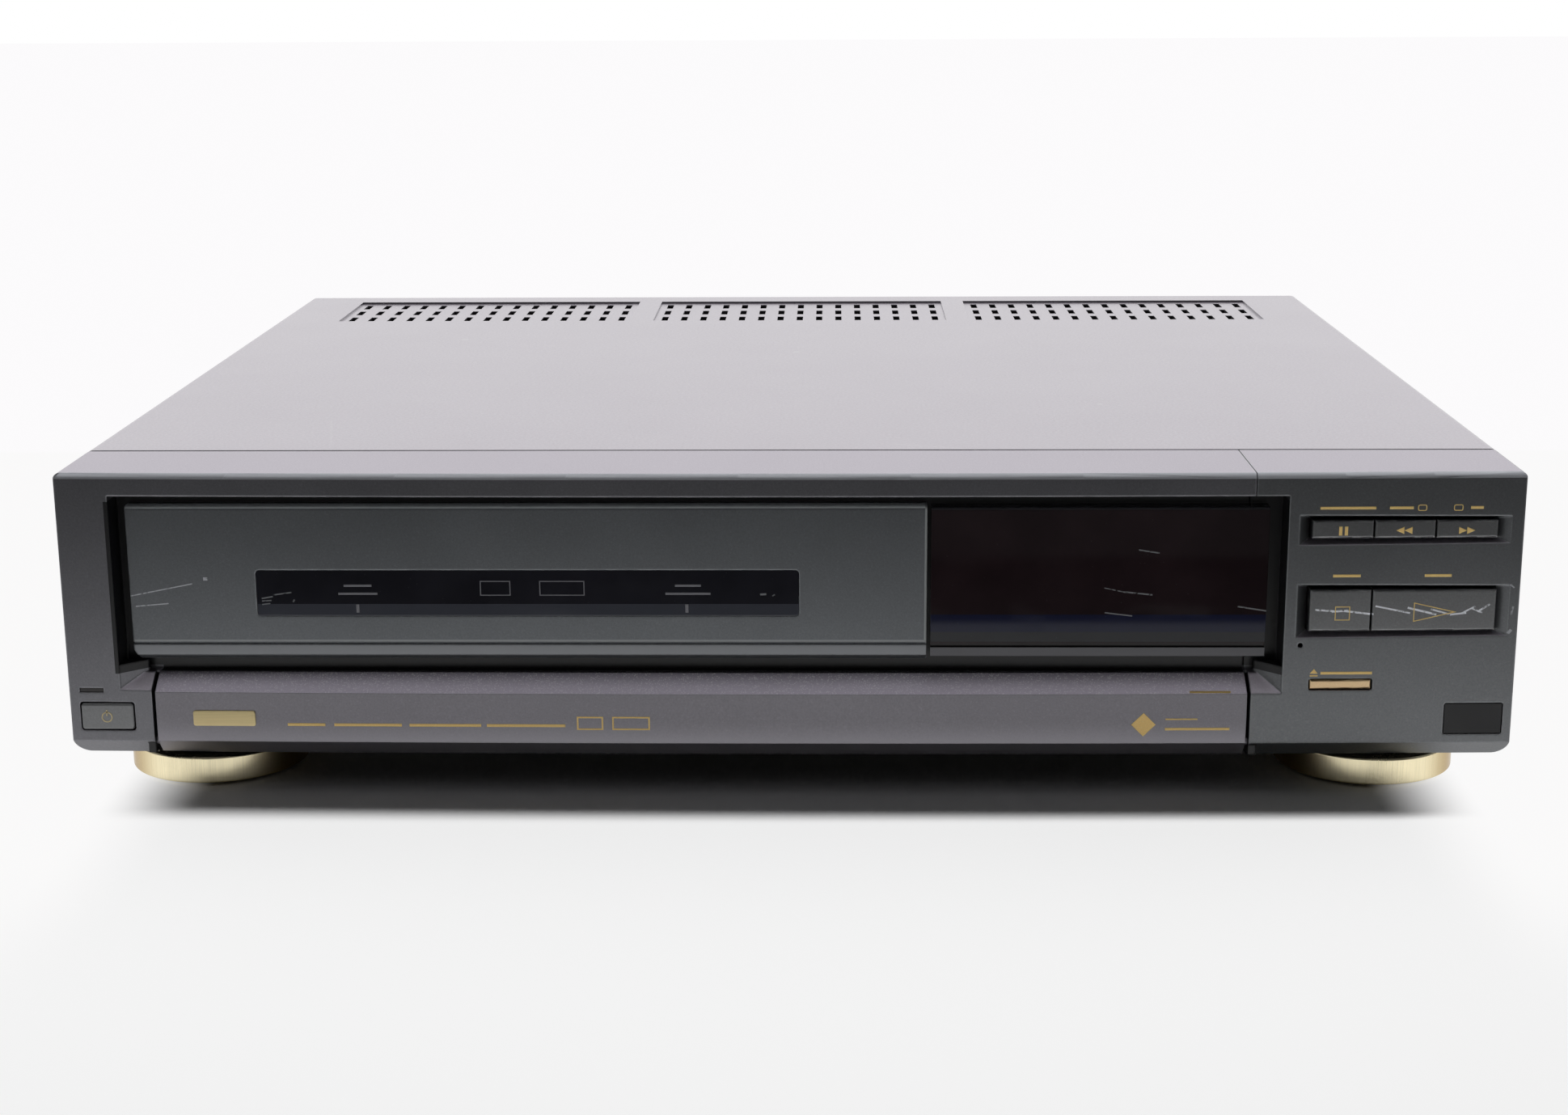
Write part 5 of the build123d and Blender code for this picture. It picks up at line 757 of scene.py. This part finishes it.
# ------------------------------------------------------------------ bench
class Bench:
    """One piece under way: a primitive at its size and place, shaped by operators."""

    def __init__(self, name: str) -> None:
        """Clear the bench.

        Args:
            name: Name of the piece that is to be made.
        """
        bpy.ops.object.select_all(action="DESELECT")
        self.name = name
        self.piece: bpy.types.Object | None = None

    def hold(self) -> Bench:
        """Select this piece alone and make it the active one.

        Returns:
            The bench.
        """
        bpy.ops.object.select_all(action="DESELECT")
        self.piece.select_set(True)
        bpy.context.view_layer.objects.active = self.piece
        return self

    def mode(self, wanted: str, select: str | None = None) -> Bench:
        """Go into a mode.

        Args:
            wanted: The mode.
            select: In edit mode, SELECT or DESELECT for the whole piece.

        Returns:
            The bench.
        """
        if self.piece.mode != wanted:
            bpy.ops.object.mode_set(mode=wanted)
        if select:
            bpy.ops.mesh.select_all(action=select)
        return self

    def settle(self, scale: Rgb = (1.0, 1.0, 1.0)) -> Bench:
        """Take the new primitive, give it its proportions and put its place into its mesh.

        Args:
            scale: Its proportions.

        Returns:
            The bench.
        """
        self.piece = bpy.context.object
        self.piece.name = self.piece.data.name = self.name
        self.piece.scale = scale
        bpy.ops.object.transform_apply(location=True, rotation=True, scale=True)
        return self

    def sheet(self, middle: Vector, width: float, height: float) -> Bench:
        """Start from a plane that looks to the front, its sides in millimetres."""
        bpy.ops.mesh.primitive_plane_add(size=1.0, location=middle, rotation=FACING_FRONT)
        return self.settle((mm(width), mm(height), 1.0))

    def disc(self, middle: Vector, radius: float, sides: int, turn: Rgb = FACING_FRONT) -> Bench:
        """Start from a filled circle or polygon, its radius in millimetres to its corners."""
        bpy.ops.mesh.primitive_circle_add(vertices=sides, radius=mm(radius), fill_type="NGON",
                                          location=middle, rotation=turn)
        return self.settle()

    def drum(self, middle: Vector, radius: float, height: float, sides: int, turn: Rgb) -> Bench:
        """Start from a cylinder, its radius and height in millimetres."""
        bpy.ops.mesh.primitive_cylinder_add(vertices=sides, radius=mm(radius), depth=mm(height),
                                            location=middle, rotation=turn)
        return self.settle()

    def brick(self, low: Vector, high: Vector) -> Bench:
        """Start from a box between two corners."""
        bpy.ops.mesh.primitive_cube_add(size=1.0, location=(low + high) / 2)
        return self.settle(tuple(high - low))

    def pick(self, wanted: Callable[[Vector, Vector], bool] = every) -> Bench:
        """Select faces and go into edit mode.

        Args:
            wanted: Tells from a face's middle and normal whether it is selected.

        Returns:
            The bench.
        """
        self.mode("EDIT")
        bpy.ops.mesh.select_mode(type="FACE")
        self.mode("EDIT", "DESELECT").mode("OBJECT")
        for face in self.piece.data.polygons:
            face.select = wanted(face.center, face.normal)
        return self.mode("EDIT")

    def inset(self, margin: float, rise: float = 0.0) -> Bench:
        """Inset the selected faces by millimetres and let the inner part rise."""
        bpy.ops.mesh.inset(thickness=mm(margin), depth=mm(rise))
        return self

    def frame_only(self, margin: float) -> Bench:
        """Leave only a rim of a flat piece.

        Args:
            margin: Millimetres that the rim is wide.

        Returns:
            The bench.
        """
        self.pick().inset(margin)
        bpy.ops.mesh.delete(type="FACE")
        return self

    def round_corners(self, radius: float, steps: int = 3) -> Bench:
        """Round the corners of a flat piece.

        Args:
            radius: Millimetres of their radius.
            steps: How many edges make a corner.

        Returns:
            The bench.
        """
        self.mode("EDIT", "SELECT")
        bpy.ops.mesh.bevel(offset=mm(radius), segments=steps, affect="VERTICES")
        return self

    def cut_fine(self, cuts: int) -> Bench:
        """Subdivide the whole piece, so that it can follow a bowed face.

        Args:
            cuts: How many cuts each edge gets.

        Returns:
            The bench.
        """
        self.mode("EDIT", "SELECT")
        bpy.ops.mesh.subdivide(number_cuts=cuts)
        return self

    def modify(self, kind: str, **settings: object) -> Bench:
        """Add a modifier and apply it.

        Args:
            kind: Blender's name of the modifier's type.
            settings: Its values.

        Returns:
            The bench.
        """
        self.mode("OBJECT")
        modifier = self.piece.modifiers.new(kind.lower(), kind)
        for name, value in settings.items():
            setattr(modifier, name, value)
        bpy.ops.object.modifier_apply(modifier=modifier.name)
        return self

    def thicken(self, thickness: float, offset: float = 1.0) -> Bench:
        """Give a flat piece its thickness in millimetres."""
        return self.modify("SOLIDIFY", thickness=mm(thickness), offset=offset)

    def soften(self, width: float, **settings: object) -> Bench:
        """Bevel the sharp edges by millimetres."""
        return self.modify("BEVEL", width=mm(width), segments=2, limit_method="ANGLE", **settings)

    def lay_on(self, node: str, thickness: float = 0.06) -> Bench:
        """Press a flat piece back onto a solid or a piece and give it its thickness."""
        self.modify("SHRINKWRAP", wrap_method="PROJECT", use_project_y=True, use_positive_direction=True,
                    use_negative_direction=False, target=bpy.data.objects[node])
        return self.thicken(thickness)

    def copies(self, moves: Sequence[Vector]) -> list[Bench]:
        """Copy the piece, each copy with its own mesh.

        Args:
            moves: How far each copy stands from the piece, in metres.

        Returns:
            A bench for each copy.
        """
        made = []
        for number, move in enumerate(moves, start=2):
            copy = Bench(f"{self.name}_{number}")
            self.hold()
            bpy.ops.object.duplicate(linked=False)
            copy.piece = bpy.context.object
            copy.piece.name = copy.piece.data.name = copy.name
            copy.piece.location = move
            bpy.ops.object.transform_apply(location=True, rotation=False, scale=False)
            made.append(copy)
        return made

    def hand_over(self, body: str, slot: str, material: bpy.types.Material, smooth: float = 30.0) -> None:
        """Finish the piece: point its faces out, shade it, dress it and let it ride.

        Args:
            body: Body that it moves with.
            slot: Material slot of the record that it belongs to; not used.
            material: Its finish.
            smooth: Degrees under which an edge is shaded smooth.
        """
        self.mode("OBJECT").hold().mode("EDIT", "SELECT")
        bpy.ops.mesh.remove_doubles(threshold=1e-6)
        bpy.ops.mesh.normals_make_consistent(inside=False)
        self.mode("OBJECT")
        bpy.ops.object.shade_smooth_by_angle(angle=math.radians(smooth))
        self.piece.data.materials.clear()
        self.piece.data.materials.append(material)
        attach(self.piece, body)
        LOG.info("piece %s rides on %s", self.piece.name, body)


# ------------------------------------------------------------------ printed marks
class Sign(Enum):
    """Outline of a printed mark."""

    BAR = "bar"
    SQUARE = "square outline"
    RIGHT = "wedge to the right"
    LEFT = "wedge to the left"
    UP = "wedge upwards"
    PLAY = "long wedge outline"
    CASSETTE = "cassette outline"
    RING = "ring"
    DIAMOND = "diamond"


BAR, SQUARE, RIGHT, LEFT, UP, PLAY, CASSETTE, RING, DIAMOND = Sign
WEDGE_TURNS = {RIGHT: math.pi / 2, PLAY: math.pi / 2, LEFT: -math.pi / 2, UP: 0.0}
SIDES = {RING: 28, DIAMOND: 4}
OUTLINED = (SQUARE, PLAY, CASSETTE, RING)
LONG_BAR, LONG_BAR_CUTS, CASSETTE_CORNER = 12.0, 7, 0.3


@dataclass(frozen=True)
class Print:
    """A mark printed on a solid, with its middle and size in millimetres as the front shows it."""

    node: str
    name: str
    sign: Sign
    x: float
    z: float
    width: float
    height: float
    line: float = 0.28

    def make(self, material: bpy.types.Material, slot: str) -> None:
        """Build the mark on the face that carries it.

        Args:
            material: The ink.
            slot: Material slot of the record.
        """
        middle = at(self.x, AHEAD, self.z)
        bench = Bench(self.name)
        if self.sign in WEDGE_TURNS:
            bench.disc(middle, self.width / 2, 3, (math.pi / 2, WEDGE_TURNS[self.sign], 0.0))
        elif self.sign in SIDES:
            bench.disc(middle, self.width / 2, SIDES[self.sign])
        else:
            bench.sheet(middle, self.width, self.height)
        self.stretch(bench, middle)
        if self.sign is CASSETTE:
            bench.round_corners(self.height * CASSETTE_CORNER)
        if self.sign in OUTLINED:
            bench.frame_only(self.line)
        if self.sign is BAR and self.width > LONG_BAR:
            bench.cut_fine(LONG_BAR_CUTS)
        body = body_of(bpy.data.objects[self.node])[0]
        bench.lay_on(self.node).hand_over(body, slot, material)

    def stretch(self, bench: Bench, middle: Vector) -> None:
        """Bring a turned polygon to the mark's width and height.

        Args:
            bench: The bench with the polygon.
            middle: Middle of the mark.
        """
        places = [vertex.co for vertex in bench.piece.data.vertices]
        low = Vector(tuple(min(place[axis] for place in places) for axis in range(3)))
        high = Vector(tuple(max(place[axis] for place in places) for axis in range(3)))
        bench.pick()
        bpy.ops.transform.translate(value=middle - (low + high) / 2)
        share = (mm(self.width) / (high.x - low.x), 1.0, mm(self.height) / (high.z - low.z))
        bpy.ops.transform.resize(value=share, center_override=middle)


GOLD_MARKS = {
    "pause_button": (
        ("pause_bar_left", BAR, 163.55, 81.5, 1.0, 2.7),
        ("pause_bar_right", BAR, 165.25, 81.5, 1.0, 2.7)),
    "rewind_button": (
        ("rewind_wedge_left", LEFT, 181.1, 81.6, 2.4, 2.2),
        ("rewind_wedge_right", LEFT, 183.5, 81.6, 2.4, 2.2)),
    "fast_forward_button": (
        ("forward_wedge_left", RIGHT, 199.6, 81.5, 2.4, 2.2),
        ("forward_wedge_right", RIGHT, 202.0, 81.5, 2.4, 2.2)),
    "stop_button": (("stop_square", SQUARE, 165.3, 56.3, 4.5, 4.3),),
    "play_button": (("play_wedge", PLAY, 192.8, 56.6, 12.8, 6.0),),
    "control_panel": (
        ("eject_wedge", UP, 157.6, 38.5, 2.4, 1.5),
        ("eject_bar", BAR, 157.6, 37.1, 2.4, 0.45), ("rewind_cassette", CASSETTE, 187.2, 88.5, 2.7, 1.9),
        ("forward_cassette", CASSETTE, 197.8, 88.5, 2.8, 1.9),
        ("pause_index", BAR, 165.4, 88.5, 16.4, 0.85), ("rewind_index", BAR, 181.1, 88.5, 7.0, 0.85),
        ("forward_index", BAR, 203.3, 88.5, 3.8, 0.85), ("stop_index", BAR, 166.0, 67.9, 8.2, 0.85),
        ("play_index", BAR, 193.0, 67.9, 8.0, 0.85), ("eject_index", BAR, 167.3, 37.9, 15.4, 0.85)),
    "door": (
        ("door_dash_first", BAR, -145.55, 21.5, 11.5, 0.9),
        ("door_dash_second", BAR, -126.8, 21.5, 20.6, 0.9),
        ("door_dash_third", BAR, -103.3, 21.5, 21.8, 0.9),
        ("door_dash_fourth", BAR, -78.8, 21.5, 23.8, 0.9),
        ("door_block_left", SQUARE, -59.4, 22.3, 8.0, 4.2, 0.5),
        ("door_block_right", SQUARE, -47.0, 22.3, 11.4, 4.2, 0.5),
        ("door_diamond", DIAMOND, 107.2, 21.9, 7.4, 7.4), ("door_line_high", BAR, 118.6, 23.6, 9.6, 0.45),
        ("door_line_low", BAR, 123.4, 20.5, 19.4, 0.8), ("door_push_line", BAR, 127.0, 31.9, 12.3, 0.45)),
}
DIM_MARKS = {
    "power_button": (
        ("power_ring", RING, -206.4, 23.6, 3.4, 3.4, 0.4),
        ("power_bar", BAR, -206.4, 24.9, 0.42, 1.9)),
}
PALE_MARKS = {
    "tray_pane": (
        ("window_tick_left", BAR, -129.3, 56.5, 0.95, 2.6),
        ("window_tick_right", BAR, -30.0, 56.5, 0.95, 2.6),
        ("window_line_left", BAR, -129.1, 61.1, 11.8, 0.7),
        ("window_line_left_high", BAR, -129.1, 63.6, 8.4, 0.7),
        ("window_frame_left", SQUARE, -87.6, 62.8, 9.2, 4.6, 0.3),
        ("window_frame_right", SQUARE, -67.5, 62.8, 13.6, 4.6, 0.3),
        ("window_line_right", BAR, -29.6, 61.1, 13.6, 0.7),
        ("window_line_right_high", BAR, -29.6, 63.6, 7.8, 0.7)),
}


@dataclass
class Lettering:
    """The signs on the controls, the door and the window."""

    gold: Moulding = INK("gold_print", srgb(244, 206, 130), 0.4, flake=0.25)
    dim: Moulding = INK("dim_gold_print", srgb(206, 190, 150), 0.45, flake=0.4)
    pale: Moulding = INK("pale_print", srgb(122, 122, 128), 0.45)

    def build(self) -> None:
        """Print every mark."""
        for ink, marks, slot in ((self.gold, GOLD_MARKS, "gold_button"), (self.dim, DIM_MARKS, "gold_button"),
                                 (self.pale, PALE_MARKS, "smoked_plastic")):
            material = ink.make()
            for node, rows in marks.items():
                for row in rows:
                    Print(node, *row).make(material, slot)


# ------------------------------------------------------------------ plates and pane
@dataclass
class Nameplate:
    """Blank raised plate at the left of the door."""

    x: float = -170.5
    z: float = 23.4
    width: float = 19.0
    height: float = 4.8
    corner: float = 0.7
    rise: float = 0.45
    finish: Metal = Metal("champagne_plate", srgb(240, 220, 168), 0.34, Grain.BRUSHED, 0.3, 0.002,
                          tarnish_share=0.04, convex=160.0)

    def build(self) -> None:
        """Build the plate and put it on the door."""
        bench = Bench("door_nameplate").sheet(at(self.x, AHEAD, self.z), self.width, self.height)
        bench.round_corners(self.corner, 4).lay_on("door", self.rise).soften(0.15)
        bench.hand_over("door", "gold_ring", self.finish.make(), 10.0)


@dataclass
class Pane:
    """Thin smoked pane that fills the opening of the tray's front, flush with its face."""

    left: float = -159.8
    right: float = 3.8
    low: float = 54.0
    high: float = 68.4
    gap: float = 0.15
    corner: float = 1.05
    depth: float = 6.8
    thick: float = 0.25

    def build(self) -> None:
        """Build the pane and put it on the tray."""
        middle = at((self.left + self.right) / 2, self.depth, (self.low + self.high) / 2)
        bench = Bench("tray_pane").sheet(middle, self.right - self.left - 2 * self.gap,
                                         self.high - self.low - 2 * self.gap)
        bench.round_corners(self.corner, 4).thicken(self.thick)
        bench.hand_over("tray", "smoked_plastic", PANE.make())


@dataclass
class RatingPlate:
    """Blank rating plate under the louvres at the back, with ruled fields."""

    x: float = 96.0
    z: float = 31.0
    width: float = 58.0
    height: float = 22.0
    thick: float = 0.4
    corner: float = 1.5
    margin: float = 4.0
    rule: Pair = (0.5, 0.05)
    rules: tuple[tuple[str, float], ...] = (("low", -5.5), ("middle", 0.0), ("high", 5.5))
    foil: Metal = Metal("plate_foil", srgb(176, 178, 180), 0.4, Grain.BRUSHED, 0.4, 0.003, tarnish_share=0.05)
    ink: Moulding = Moulding("plate_ink", srgb(26, 26, 28), 0.5, grain=0.3, relief=0.0, edge=1.1)

    def build(self) -> None:
        """Build the plate and its rules."""
        place = Vector((mm(self.x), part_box("rear_panel")[1][1], mm(self.z)))
        plate = Bench("rating_plate").sheet(place, self.width, self.height).round_corners(self.corner, 4)
        plate.thicken(self.thick, -1.0).soften(0.12).hand_over("cabinet", "dark_plastic", self.foil.make())
        ink = self.ink.make()
        wide, deep = self.rule
        for name, rise in self.rules:
            middle = place + Vector((0.0, mm(self.thick), mm(rise)))
            rule = Bench(f"rating_rule_{name}").sheet(middle, self.width - 2 * self.margin, wide)
            rule.thicken(deep, -1.0).hand_over("cabinet", "dark_plastic", ink)


# ------------------------------------------------------------------ terminals and screws
@dataclass(frozen=True)
class Collar:
    """A flat ring or thin nut round a socket."""

    outer: float
    inner: float
    thick: float = 0.8
    sides: int = 32
    rounding: float = 0.2
    slot: str = "dark_plastic"

    def build(self, name: str, x: float, y: float, z: float, material: bpy.types.Material) -> None:
        """Build one on the cabinet.

        Args:
            name: Name of the piece.
            x: Millimetres to the right of the middle.
            y: Millimetres along the depth, from the middle of the frame.
            z: Millimetres above the table.
            material: Its finish.
        """
        bench = Bench(name).disc(Vector((mm(x), mm(y), mm(z))), self.outer, self.sides)
        bench.frame_only(self.outer - self.inner).thicken(self.thick, 0.0).soften(self.rounding)
        bench.hand_over("cabinet", self.slot, material)


@dataclass
class Terminals:
    """Coloured rings at the phono sockets, and nuts on the aerial sockets."""

    rear_xs: tuple[float, ...] = (-150.0, -134.0, -118.0)
    rear_zs: tuple[tuple[str, float], ...] = (("low", 34.0), ("high", 52.0))
    front_xs: tuple[float, ...] = (82.0, 98.0, 114.0)
    front_z: float = 24.0
    aerial_xs: tuple[tuple[str, float], ...] = (("left", -44.0), ("right", -12.0))
    aerial_z: float = 45.0
    nut_depth: float = 1.1
    rear_ring: Collar = Collar(6.5, 5.4)
    front_ring: Collar = Collar(5.6, 4.35)
    nut: Collar = Collar(7.4, 6.0, 2.0, 6, 0.3, "cast_metal")
    inks: tuple[tuple[str, Rgb], ...] = (
        ("yellow", srgb(214, 178, 44)), ("white", srgb(206, 206, 202)), ("red", srgb(168, 34, 32)))

    def build(self) -> None:
        """Build all the rings and nuts."""
        ring = partial(Moulding, roughness=0.38, grain=0.4, relief=0.01, cloud=0.05)
        inks = [(name, ring(f"{name}_socket_ring", color).make()) for name, color in self.inks]
        rear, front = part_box("rear_panel")[1][1] * 1000.0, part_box("inner_panel")[0][1] * 1000.0
        for x, (name, ink) in zip(self.rear_xs, inks):
            for level, z in self.rear_zs:
                self.rear_ring.build(f"rear_ring_{level}_{name}", x, rear + self.rear_ring.thick / 2, z, ink)
        front -= self.front_ring.thick / 2
        for x, (name, ink) in zip(self.front_xs, inks):
            self.front_ring.build(f"front_ring_{name}", x, front, self.front_z, ink)
        metal = NICKEL.make()
        for side, x in self.aerial_xs:
            self.nut.build(f"aerial_nut_{side}", x, rear + self.nut_depth, self.aerial_z, metal)


@dataclass
class Screws:
    """Pan-head screws on the back and under the pan."""

    head: float = 3.3
    sides: int = 20
    rise: float = 1.3
    dome: Pair = (0.7, 0.25)
    slot_long: float = 3.6
    slot_wide: float = 0.8
    slot_deep: float = 0.6
    rear: tuple[Pair, ...] = ((-205.0, 88.0), (0.0, 90.0), (205.0, 88.0), (-205.0, 20.0), (205.0, 20.0),
                              (-166.0, 43.0), (-102.0, 43.0), (-56.0, 60.0), (0.0, 30.0))
    under: tuple[Pair, ...] = ((-150.0, -120.0), (150.0, -120.0), (-60.0, 20.0), (70.0, 20.0), (-190.0, 20.0),
                               (190.0, 20.0), (0.0, 140.0), (0.0, -130.0))

    def build(self) -> None:
        """Put the screws on both sides."""
        back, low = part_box("rear_panel")[1][1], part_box("bottom_pan")[0][2]
        self.row("rear_screw", [Vector((mm(x), back, mm(z))) for x, z in self.rear], Vector((0.0, 1.0, 0.0)),
                 "dark_plastic", SCREW)
        self.row("pan_screw", [Vector((mm(x), mm(y), low)) for x, y in self.under], Vector((0.0, 0.0, -1.0)),
                 "pan_steel", TURNED)

    def row(self, name: str, seats: Sequence[Vector], way: Vector, slot: str, finish: Metal) -> None:
        """Model one screw and copy it to the other seats.

        Args:
            name: Name of the first piece.
            seats: Where the heads sit.
            way: Unit direction that they look to.
            slot: Material slot of the record.
            finish: Their metal.
        """
        metal = finish.make()
        first = self.screw(name, seats[0], way)
        for bench in [*first.copies([seat - seats[0] for seat in seats[1:]]), first]:
            bench.hand_over("cabinet", slot, metal)

    def screw(self, name: str, seat: Vector, way: Vector) -> Bench:
        """One screw head with its cross.

        Args:
            name: Name of the piece.
            seat: Where the head sits.
            way: Unit direction that the head looks to.

        Returns:
            The bench with the head on it.
        """
        turn = FACING_FRONT if way.y else (0.0, 0.0, 0.0)
        bench = Bench(name).drum(seat + way * mm(self.rise / 2), self.head, self.rise, self.sides, turn)
        bench.pick(lambda middle, normal: normal.dot(way) > 0.9).inset(*self.dome)
        bench.soften(0.3, angle_limit=math.radians(40))
        across = Vector((1.0, 0.0, 0.0))
        beside = way.cross(across)
        middle = seat + way * mm(self.rise + self.dome[1])
        tools = []
        for long, short in ((across, beside), (beside, across)):
            reach = long * mm(self.slot_long / 2) + short * mm(self.slot_wide / 2) + way * mm(self.slot_deep)
            reach = Vector(tuple(abs(part) for part in reach))
            tools.append(Bench(f"{name}_cutter").brick(middle - reach, middle + reach).piece)
        bench.hold()
        for tool in tools:
            bench.modify("BOOLEAN", operation="DIFFERENCE", solver="EXACT", object=tool)
            bpy.data.objects.remove(tool)
        return bench


# ------------------------------------------------------------------ studio
@dataclass(frozen=True)
class Lamp:
    """A rectangular lamp overhead and a little behind, with its size, place and aim in metres."""

    name: str
    power: float
    size: Pair
    place: Rgb = (-0.02, 0.12, 1.6)
    aim: Rgb = (0.0, -0.1, 0.0)

    def hang(self) -> None:
        """Add the lamp; mirrors don't show it, so that smooth tops stay even from above."""
        data = bpy.data.lights.new(self.name, "AREA")
        data.shape, data.energy = "RECTANGLE", self.power
        data.size, data.size_y = self.size
        lamp = bpy.data.objects.new(self.name, data)
        bpy.context.scene.collection.objects.link(lamp)
        lamp.location, lamp.visible_glossy = self.place, False
        toward = Vector(self.aim) - Vector(self.place)
        lamp.rotation_euler = toward.to_track_quat("-Z", "Y").to_euler()


@dataclass
class Studio:
    """Floor, sky, lamp and camera, in metres and degrees."""

    lens: float = 55.98
    pitch: float = 14.0555
    yaw: float = -1.2021
    roll: float = -0.3105
    eye: Rgb = (0.014125, -0.89258, 0.24931)
    floor_size: float = 12.0
    floor_tone: float = 0.92
    shade_tone: float = 0.05
    near_glow: Rgb = (0.955, 0.95, 0.95)
    far_glow: Rgb = (0.97, 0.96, 0.97)
    horizon: float = 0.326
    table_front: float = -0.62
    table_round: Pair = (0.42, 0.75)
    # Where the floor beside the recorder glows, painting out its side shadows, and along what depth that glow
    # fades in.
    sides: Pair = (0.176, 0.208)
    sides_from: Pair = (-0.36, -0.25)
    near_front: float = -0.25
    lamps: tuple[Lamp, ...] = (Lamp("strip", 27.5, (1.8, 0.045)),)
    front_sky: float = 0.02
    rear_sky: float = 0.55
    top_sky: float = 0.2
    front_shine: float = 0.11

    def build(self) -> None:
        """Make the whole studio."""
        self.add_camera()
        self.add_floor()
        self.add_sky()
        for lamp in self.lamps:
            lamp.hang()
        LOG.info("studio ready")

    def add_camera(self) -> None:
        """Stand the camera where the recorder is seen from the front and a little above."""
        data = bpy.data.cameras.new("camera")
        data.lens, data.sensor_width, data.sensor_fit = self.lens, 36.0, "HORIZONTAL"
        camera = bpy.data.objects.new("camera", data)
        bpy.context.scene.collection.objects.link(camera)
        turn = Matrix.Translation(self.eye)
        for angle, axis in ((-self.yaw, "Z"), (90.0 - self.pitch, "X"), (self.roll, "Z")):
            turn = turn @ Matrix.Rotation(math.radians(angle), 4, axis)
        camera.matrix_world = turn
        bpy.context.scene.camera = camera

    def add_floor(self) -> None:
        """Lay a plain pale floor that keeps the shadow in front; far off it glows, and beside the recorder
        the glow paints out the side shadows.
        """
        bpy.ops.mesh.primitive_plane_add(size=self.floor_size, location=(0.0, 0.0, 0.0))
        floor = bpy.context.object
        floor.name = "floor"
        graph = Surface("floor_pale")
        shade = graph.mix(graph.y.fade(self.table_front, self.table_front - 0.06),
                          (self.floor_tone,) * 3, (self.shade_tone,) * 3)
        table = graph.node("ShaderNodeBsdfDiffuse", {}, {"Color": shade})
        beyond = graph.y.fade(self.horizon - 0.004, self.horizon + 0.004)
        lit = graph.mix(beyond, self.near_glow, self.far_glow)
        glow = graph.node("ShaderNodeEmission", {}, {"Color": lit, "Strength": 1.0})
        seen = graph.node("ShaderNodeLightPath", output="Is Camera Ray")
        away = graph.vector("LENGTH", graph.place, output="Value").fade(*self.table_round)
        far = graph.math("MAXIMUM", away, graph.y.fade(self.table_front + 0.1, self.table_front))
        near = seen.named("Is Glossy Ray") * graph.y.above(self.near_front)
        # Beside the recorder the floor glows for the camera, and for mirrors near the front, painting out its
        # side shadows.
        beside = (abs(graph.x).fade(*self.sides) * graph.y.fade(*self.sides_from)
                  * graph.math("MAXIMUM", seen, near))
        graph.finish(graph.node("ShaderNodeMixShader", {},
                                {0: graph.math("MAXIMUM", far * seen, beside), 1: table, 2: glow}))
        floor.data.materials.append(graph.material)

    def add_sky(self) -> None:
        """Light from all round: bright behind and above, dimmer in front."""
        world = bpy.data.worlds.new("sky")
        bpy.context.scene.world = world
        graph = Graph(world)
        rear = graph.part(graph.node("ShaderNodeTexCoord", output="Generated"), "Y")
        above = rear.named("Z")
        sky = self.front_sky + rear.fade(-0.1, 0.7) * (self.rear_sky - self.front_sky)
        sky = sky + above.fade(0.94, 0.985) * self.top_sky
        seen = graph.node("ShaderNodeLightPath", output="Is Camera Ray")
        shiny = graph.math("MINIMUM", seen.named("Is Glossy Ray") + seen.named("Is Transmission Ray"), 1.0)
        white = graph.math("MAXIMUM", rear.fade(-0.1, 0.1), above.fade(0.78, 0.95))
        mirrored = self.front_shine + white * (1.0 - self.front_shine)
        strength = (sky * (1.0 - shiny) + mirrored * shiny) * (1.0 - seen) + seen
        back = graph.node("ShaderNodeBackground", {}, {"Color": (1.0, 1.0, 1.0), "Strength": strength})
        graph.finish(back, "ShaderNodeOutputWorld")


def main() -> None:
    """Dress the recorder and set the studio."""
    logging.basicConfig(level=logging.INFO, format="%(message)s")
    view = bpy.context.scene.view_settings
    view.view_transform = "Standard"
    dress_nodes()
    for part in (Pane(), Lettering(), Nameplate(), Terminals(), RatingPlate(), Screws()):
        part.build()
        LOG.info("finished %s", type(part).__name__)
    Studio().build()


if __name__ == "__main__":
    main()
